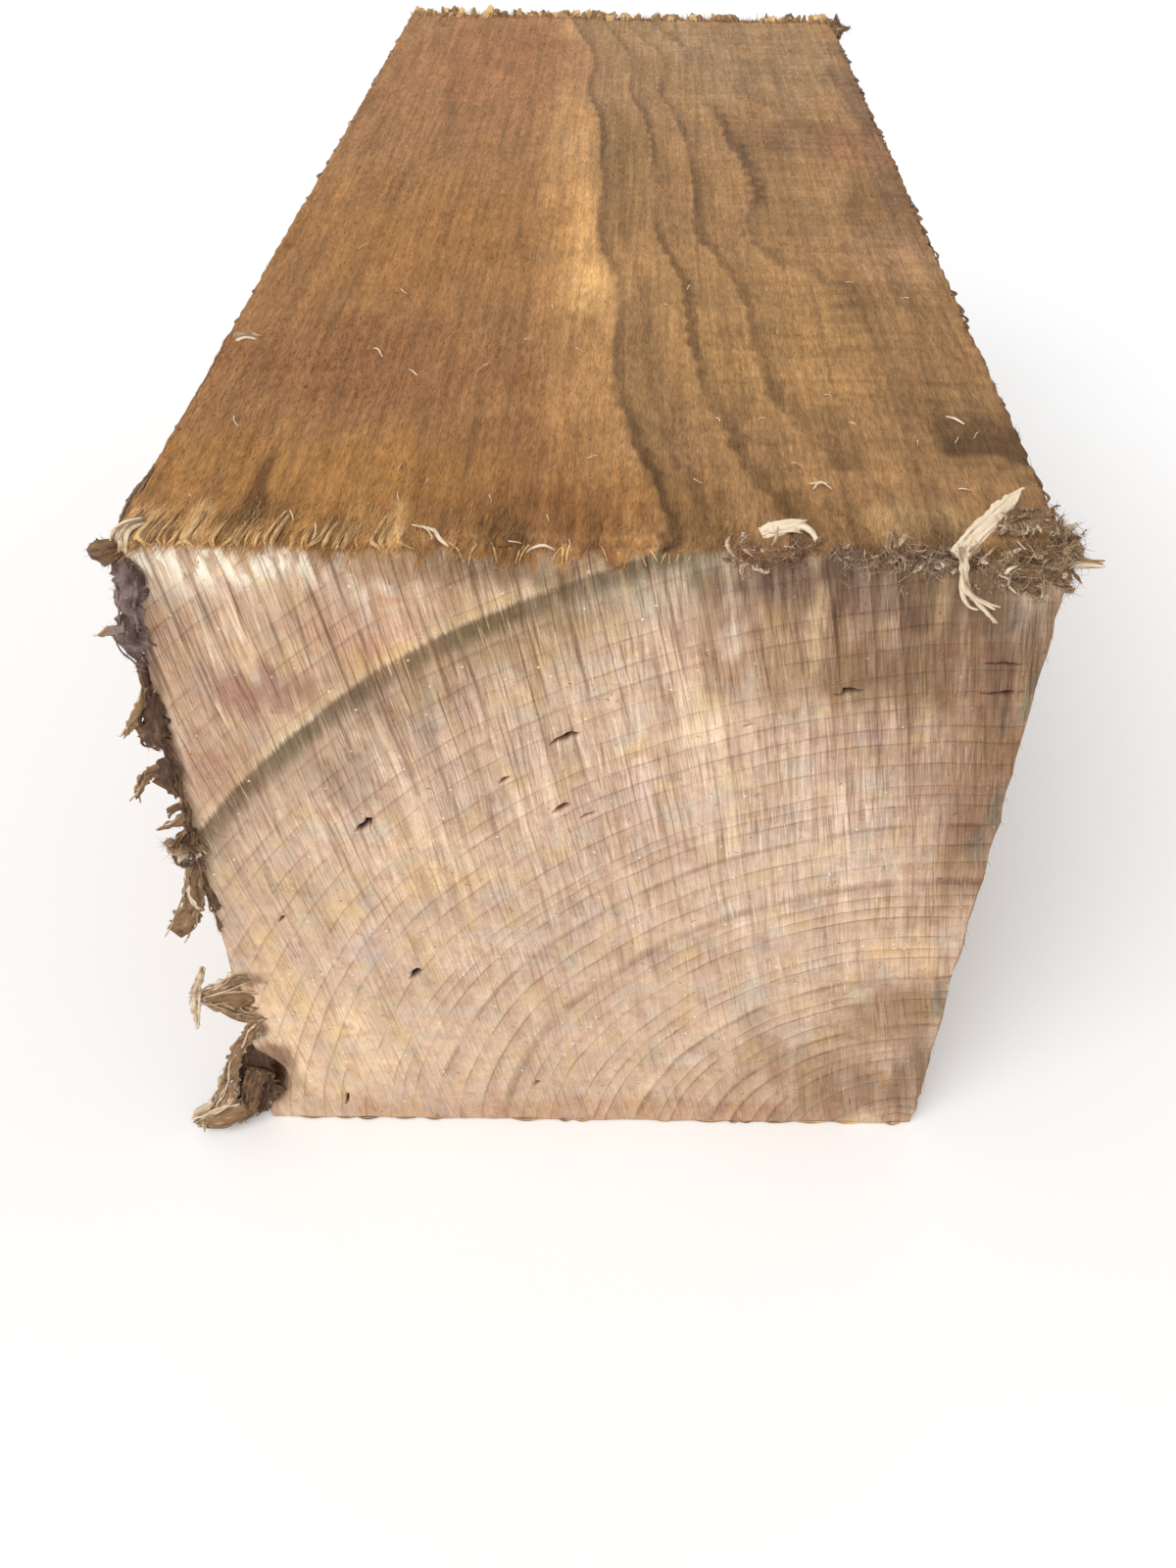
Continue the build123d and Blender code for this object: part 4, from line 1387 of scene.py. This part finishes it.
def tuft_mesh():
    """Torn tufts and strands along the arrises of the top, and burrs along the bottom of the near end."""
    strips = TornStrips()
    random = np.random.default_rng(11)

    # Left half of the near top arris
    for seed in range(401, 456):
        x = random.uniform(-49.8, -20)
        back, width, tone = random.uniform(2, 8), random.uniform(0.15, 0.6), random.uniform(0.5, 0.9)
        drop, lean = random.uniform(0.0, 0.6), -0.14 * back
        aside = random.normal(0, 0.5)
        rows = (
            (*above_near(x - lean, back, -0.25), 0.3 * width, 0.15),
            (*above_near(x - 0.5 * lean, 0.5 * back, 0.06 + 0.1 * width), 0.9 * width, 0.15),
            (*above_near(x, 0.3, 0.05), width, 0.3),
            (*above_near(x + aside, -0.3, -0.35), 0.7 * width, 0.25),
            (*above_near(x + 1.6 * aside, -0.4, -0.5 - drop), 0.12, 0.12),
        )
        strips.add(rows, tone, TILTED, seed, sides=6, step=0.5)

    # Far top arris
    for seed in range(561, 651):
        x = random.uniform(-50, 50)
        aside, rise, width = random.normal(0, 0.4), random.uniform(0.2, 1.5), random.uniform(0.6, 2.8)
        rows = (
            (x, FAR_Y - random.uniform(1, 4), top_z(x) - 0.3, 0.6 * width, 0.3),
            (x + aside, FAR_Y - 0.4, top_z(x) + 0.3, width, 0.4),
            (x + 2 * aside, FAR_Y + 0.3, top_z(x) + rise, 0.5 * width, 0.2),
        )
        strips.add(rows, random.uniform(0.15, 0.95), BACK_TILTED, seed, sides=6, step=0.5)

    # Left and right top arrises
    for seed in range(651, 731):
        side = 1 if seed % 2 else -1
        y, length = random.uniform(-112, 114), random.uniform(2.0, 6.0)
        out, width = random.uniform(0.0, 0.25), random.uniform(0.2, 0.6)
        x = side * HALF_WIDTH
        rows = (
            (x - side * 0.8, y - length / 2, top_z(x) - 0.1, 0.3, 0.2),
            (x + side * out, y, top_z(x) - random.uniform(0.3, 0.9), width, 0.3),
            (x - side * 0.4, y + length / 2, top_z(x) - 0.4, 0.2, 0.2),
        )
        tone = random.uniform(0.1, 0.4) if side > 0 else random.uniform(0.3, 0.8)
        strips.add(rows, tone, TILTED, seed, sides=6, step=0.5)

    # Bottom of the near end
    for seed in range(731, 751):
        x, length = random.uniform(-46, 48), random.uniform(1.5, 5.0)
        rows = (
            (x - length / 2, near_y(x) + 0.1, 0.4, 0.2, 0.2),
            (x, near_y(x) - random.uniform(0.0, 0.3), 0.3, 0.5, 0.3),
            (x + length / 2, near_y(x) + 0.1, 0.4, 0.2, 0.2),
        )
        strips.add(rows, random.uniform(0.3, 0.7), OUTWARD, seed, sides=6, step=0.5)

    # Strands that hang over the rolled arris
    for seed in range(751, 771):
        x, aside, drop = random.uniform(-17, 14), random.normal(0, 0.7), random.uniform(0, 1.2)
        width = random.uniform(0.1, 0.26)
        rows = (
            (*above_near(x, 1.2, -0.4), width, 0.15),
            (*above_near(x + aside, 0.3, -0.85), width, 0.15),
            (*above_near(x + 1.6 * aside, -0.15, -1.5 - drop), 0.1, 0.1),
        )
        strips.add(rows, random.uniform(0.6, 1.0), TILTED, seed, sides=6, step=0.4)
    return strips.mesh("arris_tufts")


def lump_mesh():
    """Matted lumps of torn wood at the corners of the top and on the near arris."""
    strips = TornStrips()
    random = np.random.default_rng(17)
    seed = 901
    for middle, half, count, widest, tone in LUMPS:
        reach = np.array((0.8 * half[0], 0, 0))
        ends = [above_near(*(np.array(middle) + way * reach)) for way in (-1, 0, 1)]
        rows = [(*end, share * half[1], share * half[2]) for end, share in zip(ends, (0.7, 1.5, 0.7))]
        strips.add(rows, tone - 0.1, TILTED, seed, step=0.4, ragged=0.5)
        seed += 1
        for _ in range(count):
            spot = random.normal(0, 0.45, 3).clip(-0.9, 0.9) * half
            width, shade = random.uniform(0.3, 1) * widest, tone + random.uniform(-0.2, 0.3)
            if random.uniform() < PALE_SHARE:
                shade += 0.5
            start = above_near(*(np.array(middle) + spot))
            heading, length = random.normal(0, 1, 3), random.uniform(1.2, 3.6)
            strips.curl(random, start, heading, length, width, shade, seed, 0.8)
            seed += 1
    return strips.mesh("matted_lumps")


# Woolly fibres

FIBRE_INPUTS = (
    ("Geometry", "Geometry"), ("Mask", "String"), ("Density", "Float"), ("Length", "Float"),
    ("Thickness", "Float"), ("Lift", "Float"), ("Scatter", "Float"), ("Flow", "Float"),
    ("Grain", "Vector"), ("Reverse", "Float"), ("Bend", "Float"), ("Segments", "Int"), ("Seed", "Int"),
    ("Material", "Material"),
)

# Layers of the piece underneath that its fibres don't keep, by the start of the name
NOT_KEPT = ("wool", "fringe", "burr", "dust", "hang", "felt", "check", "end_grain")


def fibre_tree():
    """Geometry Nodes tree that grows thin tapered fibres where a mask lets them."""
    tree = bpy.data.node_groups.new("fibres", "GeometryNodeTree")
    for name, kind in FIBRE_INPUTS:
        tree.interface.new_socket(name, in_out="INPUT", socket_type="NodeSocket" + kind)
    tree.interface.new_socket("Geometry", in_out="OUTPUT", socket_type="NodeSocketGeometry")
    g = Graph(tree)
    take = g.add("NodeGroupInput").outputs

    def draw(low, high, offset):
        """Random number of each fibre."""
        seed = g.plus(take["Seed"], offset)
        node = g.add("FunctionNodeRandomValue", {2: low, 3: high, "Seed": seed}, data_type="FLOAT")
        return node.outputs[1]

    mask = g.add("GeometryNodeInputNamedAttribute", {"Name": take["Mask"]}, data_type="FLOAT")
    density = g.times(take["Density"], g.most(mask.outputs[0], 0.0))
    inputs = {"Mesh": take["Geometry"], "Density": density, "Seed": take["Seed"]}
    spread = g.add("GeometryNodeDistributePointsOnFaces", inputs, distribute_method="RANDOM").outputs

    # One fibre: a three-sided cone, bent along its length
    inputs = {
        "Vertices": 3, "Side Segments": take["Segments"], "Radius Top": 0.0, "Radius Bottom": 0.5,
        "Depth": 1.0}
    cone = g.add("GeometryNodeMeshCone", inputs, fill_type="NGON").outputs["Mesh"]
    height = g.parts(g.add("GeometryNodeInputPosition").outputs[0])[2]
    bow = g.combine(g.times(height, height, take["Bend"]), 0.0, -0.12)
    cone = g.add("GeometryNodeSetPosition", {"Geometry": cone, "Offset": bow}).outputs[0]

    # Heading: along the grain either way, lifted off the face, swayed by its neighbours' flow
    way = g.math("SIGN", g.minus(draw(0.0, 1.0, 1), take["Reverse"]))
    heading = g.scale(take["Grain"], way)
    heading = g.vector("ADD", heading, g.scale(spread["Normal"], g.times(take["Lift"], draw(0.1, 1.0, 2))))
    loose = g.combine(draw(-1.0, 1.0, 3), draw(-1.0, 1.0, 4), draw(-1.0, 1.0, 5))
    heading = g.vector("ADD", heading, g.scale(loose, take["Scatter"]))
    sway = g.add("ShaderNodeTexNoise", {"Scale": 0.22 / MM, "Detail": 1.0}).outputs[1]
    sway = g.scale(g.vector("SUBTRACT", sway, (0.5, 0.5, 0.5)), take["Flow"])
    heading = g.vector("ADD", heading, sway)
    turned = g.add("FunctionNodeAlignRotationToVector", {"Vector": heading}, axis="Z").outputs[0]
    inputs = {"Axis": (0, 0, 1), "Angle": draw(0.0, 6.283, 6)}
    spin = g.add("FunctionNodeAxisAngleToRotation", inputs).outputs[0]
    inputs = {"Rotation": turned, "Rotate By": spin}
    turned = g.add("FunctionNodeRotateRotation", inputs, rotation_space="LOCAL").outputs[0]
    thick = g.times(take["Thickness"], draw(0.6, 1.4, 7))
    size = g.combine(thick, thick, g.times(take["Length"], draw(0.35, 1.3, 8)))
    inputs = {"Points": spread["Points"], "Instance": cone, "Rotation": turned, "Scale": size}
    grown = g.add("GeometryNodeInstanceOnPoints", inputs).outputs[0]
    inputs = {"Geometry": grown, "Name": "fibre_shade", "Value": draw(0.0, 1.0, 9)}
    grown = g.add("GeometryNodeStoreNamedAttribute", inputs, data_type="FLOAT", domain="INSTANCE").outputs[0]
    grown = g.add("GeometryNodeRealizeInstances", {0: grown}).outputs[0]
    grown = g.add("GeometryNodeSetMaterial", {"Geometry": grown, "Material": take["Material"]}).outputs[0]
    g.feed(g.add("NodeGroupOutput").inputs[0], grown)
    return tree


def grow_fibres(name, mesh, tree, **inputs):
    """Piece of fibres grown on a mesh with the given inputs of the tree."""
    source = link_mesh(name + "_source", mesh)
    modifier = source.modifiers.new("fibres", "NODES")
    modifier.node_group = tree
    for item in tree.interface.items_tree:
        if item.in_out == "INPUT" and item.name in inputs:
            modifier[item.identifier] = inputs[item.name]
    graph = bpy.context.evaluated_depsgraph_get()
    grown = bpy.data.meshes.new_from_object(source.evaluated_get(graph), depsgraph=graph)
    bpy.data.objects.remove(source)
    grown.name = name
    for layer in [layer.name for layer in grown.attributes]:
        if layer.startswith(NOT_KEPT):
            grown.attributes.remove(grown.attributes[layer])
    finish_piece(link_mesh(name, grown))


# Stage

FLOOR_HALF = 4.0  # metres from the middle of the floor to its sides
KEY_ANGLE = math.radians(50)  # width of the soft lamp in the sky
SENSOR_WIDTH = 36.0  # millimetres, as Blender counts them
CLIP_START = 0.005  # metres from the camera


def looked_at(g):
    """1 for rays that the camera sees, straight or through gloss and glass."""
    path = g.add("ShaderNodeLightPath").outputs
    bright = g.most(path["Is Glossy Ray"], path["Is Transmission Ray"])
    return g.most(path["Is Camera Ray"], bright)


def white_floor():
    """Floor that looks white to the camera and still takes the block's shadow."""
    material, g, shader = new_material("white_floor", 1.0)
    g.feed(shader.inputs["Base Color"], g.mix(looked_at(g), (0.8, 0.8, 0.8, 1), (1, 1, 1, 1)))
    return material


# Operators

def shared_wood(context):
    """The one node group of the wood's colours, made when first asked for."""
    return bpy.data.node_groups.get("wood") or wood_group(context.scene.timber_colours)


class TIMBER_OT_block(bpy.types.Operator):
    """Build the sawn block with its relief and wood"""
    bl_idname = "timber.block"
    bl_label = "Sawn Block"

    def execute(self, context):
        colours, sizes = context.scene.timber_colours, context.scene.timber_sizes
        points, polygons = plain_box()
        mesh = bpy.data.meshes.new("sawn_block")
        mesh.from_pydata(points.tolist(), [], polygons)
        refine_checks(mesh)
        box_points = np.empty(len(mesh.vertices) * 3)
        mesh.vertices.foreach_get("co", box_points)
        places, attributes, wash = block_relief(box_points.reshape(-1, 3), sizes, colours)
        mesh.vertices.foreach_set("co", (places * MM).ravel())
        set_attributes(mesh, attributes)
        set_colour(mesh, "wash", wash)
        mesh.update()
        mesh.shade_smooth()
        piece = link_mesh("sawn_block", mesh, sawn_wood(shared_wood(context)))
        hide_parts(NODE)
        finish_piece(piece)
        return {"FINISHED"}


class TIMBER_OT_torn_wood(bpy.types.Operator):
    """Build the torn lip, the splinters, the tufts and the matted lumps"""
    bl_idname = "timber.torn_wood"
    bl_label = "Torn Wood"

    def execute(self, context):
        colours = context.scene.timber_colours
        torn = torn_wood("torn_wood", colours, colours.torn_pale)
        combed = torn_wood("combed_wood", colours, colours.fibre)
        pieces = ((lip_mesh, torn), (splinter_mesh, torn), (tuft_mesh, combed), (lump_mesh, torn))
        for make, material in pieces:
            mesh = make()
            finish_piece(link_mesh(mesh.name, mesh, material))
        return {"FINISHED"}


class TIMBER_OT_fibres(bpy.types.Operator):
    """Grow the woolly fibres of the sawn faces and the torn arrises"""
    bl_idname = "timber.fibres"
    bl_label = "Woolly Fibres"

    def execute(self, context):
        colours, sizes = context.scene.timber_colours, context.scene.timber_sizes
        group = shared_wood(context)
        tree = fibre_tree()
        golden = wool("golden_wool", group, colours, (0.86, 1.3), (0.9, 1.3))
        pale = wool("pale_wool", group, colours, (0.1, 0.9), (0.75, 1.15))
        felt = matted_felt("matted_felt", srgb(118, 94, 82), colours.felt, colours.torn_pale)
        grey_felt = matted_felt("grey_felt", srgb(112, 94, 90), srgb(184, 168, 162), colours.torn_pale)
        torn = bpy.data.materials["torn_wood"]
        grounds = ("sawn_block", "torn_lip", "matted_lumps")
        block, lip, lumps = (bpy.data.objects[name].data for name in grounds)
        per_mm2 = 1 / MM ** 2
        along, toward = (0, 1, 0), (-0.12, -0.9, -0.1)
        fine = {
            "Length": sizes.wool, "Thickness": 0.08 * MM, "Lift": 0.16, "Scatter": 0.14, "Flow": 0.6,
            "Reverse": 0.5, "Grain": along}
        curly = {
            "Length": 1.4 * MM, "Thickness": 0.08 * MM, "Lift": 0.7, "Scatter": 0.9, "Reverse": 0.3,
            "Bend": 5.0, "Segments": 3}
        rows = (
            ("wool_near", block, golden, fine | {"Density": 4.0 * per_mm2, "Bend": 4.0, "Segments": 2}),
            ("wool_far", block, golden, fine | {"Density": 2.2 * per_mm2, "Bend": 0.0, "Segments": 1}),
            ("wool_side", block, golden, fine | {"Density": 1.2 * per_mm2, "Bend": 0.0, "Segments": 1}),
            ("fringe", block, pale, {
                "Density": 14 * per_mm2, "Length": sizes.fringe, "Thickness": 0.07 * MM, "Lift": 0.14,
                "Scatter": 0.2, "Flow": 0.9, "Grain": toward, "Reverse": 0.1, "Bend": 3.0, "Segments": 3}),
            ("fringe_far", block, pale, {
                "Density": 5 * per_mm2, "Length": 2.2 * MM, "Thickness": 0.2 * MM, "Lift": 0.6,
                "Scatter": 0.6, "Flow": 1.2, "Grain": along, "Reverse": 0.5, "Bend": 3.0, "Segments": 2}),
            ("hang", block, felt, curly | {"Density": 16 * per_mm2, "Flow": 1.2, "Grain": (0, -0.2, -0.4)}),
            ("dust", block, pale, {
                "Density": 0.12 * per_mm2, "Length": 0.9 * MM, "Thickness": 0.12 * MM, "Lift": 0.4,
                "Scatter": 1.0, "Flow": 0.0, "Grain": (0, 0, 0.5), "Bend": 3.0, "Segments": 2}),
            ("burr", lip, torn, curly | {
                "Density": 1.2 * per_mm2, "Length": 0.8 * MM, "Flow": 0.6, "Grain": (-0.3, 0, -0.3)}),
            ("felt", lip, grey_felt, curly | {
                "Density": 5 * per_mm2, "Length": 0.6 * MM, "Flow": 0.6, "Grain": (-0.2, 0, -0.3)}),
            ("burr", lumps, felt, curly | {
                "Density": 8 * per_mm2, "Length": sizes.felt, "Thickness": 0.085 * MM, "Lift": 0.3,
                "Scatter": 1.2, "Flow": 1.0, "Bend": 4.0, "Grain": (0.1, 0, -0.2)}),
        )
        for seed, (mask, mesh, material, inputs) in enumerate(rows, start=1):
            name = mask if mesh == block else f"{mesh.name}_{mask}"
            grow_fibres(name + "_fibres", mesh, tree, Mask=mask, Seed=seed * 20, Material=material, **inputs)
        return {"FINISHED"}


class TIMBER_OT_stage(bpy.types.Operator):
    """Build the floor, the light and the camera"""
    bl_idname = "timber.stage"
    bl_label = "Stage"

    def execute(self, context):
        stage = context.scene.timber_stage
        corners = [(x * FLOOR_HALF, y * FLOOR_HALF, 0) for x, y in ((-1, -1), (1, -1), (1, 1), (-1, 1))]
        mesh = bpy.data.meshes.new("floor")
        mesh.from_pydata(corners, [], [(0, 1, 2, 3)])
        link_mesh("floor", mesh, white_floor())

        world = bpy.data.worlds.new("sky")
        context.scene.world = world
        world.use_nodes = True
        g = Graph(world.node_tree)
        back = world.node_tree.nodes["Background"]
        back.inputs["Color"].default_value = (1, 1, 1, 1)
        g.feed(back.inputs["Strength"], g.ramp(looked_at(g), 0, 1, stage.sky, 1.0))

        lamp = bpy.data.lights.new("key", "SUN")
        lamp.energy = stage.key
        lamp.angle = KEY_ANGLE
        key = bpy.data.objects.new("key", lamp)
        key.rotation_euler = Vector(stage.key_from).to_track_quat("Z", "Y").to_euler()
        context.scene.collection.objects.link(key)

        camera = bpy.data.cameras.new("camera")
        camera.lens = stage.lens
        camera.sensor_width = SENSOR_WIDTH
        camera.clip_start = CLIP_START
        eye = bpy.data.objects.new("camera", camera)
        eye.location = stage.camera_place
        eye.rotation_euler = stage.camera_turn
        context.scene.collection.objects.link(eye)
        context.scene.camera = eye
        context.scene.view_settings.view_transform = "Standard"
        return {"FINISHED"}


class TIMBER_PT_panel(bpy.types.Panel):
    """Sidebar panel that lists the settings and the pieces"""
    bl_idname = "TIMBER_PT_panel"
    bl_label = "Rough-Sawn Timber"
    bl_space_type = "VIEW_3D"
    bl_region_type = "UI"
    bl_category = "Timber"

    def draw(self, context):
        for name in SETTINGS:
            settings = getattr(context.scene, name)
            for item in settings.__annotations__:
                self.layout.prop(settings, item)
        for operator in OPERATORS:
            self.layout.operator(operator.bl_idname)


SETTINGS = {"timber_colours": TimberColours, "timber_sizes": TimberSizes, "timber_stage": TimberStage}
OPERATORS = (TIMBER_OT_block, TIMBER_OT_torn_wood, TIMBER_OT_fibres, TIMBER_OT_stage)
CLASSES = (*SETTINGS.values(), *OPERATORS, TIMBER_PT_panel)


def register():
    """Add the classes and their settings to Blender."""
    for item in CLASSES:
        bpy.utils.register_class(item)
    for name, group in SETTINGS.items():
        setattr(bpy.types.Scene, name, bpy.props.PointerProperty(type=group))


def unregister():
    """Take them away again."""
    for name in SETTINGS:
        delattr(bpy.types.Scene, name)
    for item in reversed(CLASSES):
        bpy.utils.unregister_class(item)


def main():
    """Build the block and its stage."""
    register()
    bpy.ops.timber.block()
    bpy.ops.timber.torn_wood()
    bpy.ops.timber.fibres()
    bpy.ops.timber.stage()


if __name__ == "__main__":
    main()
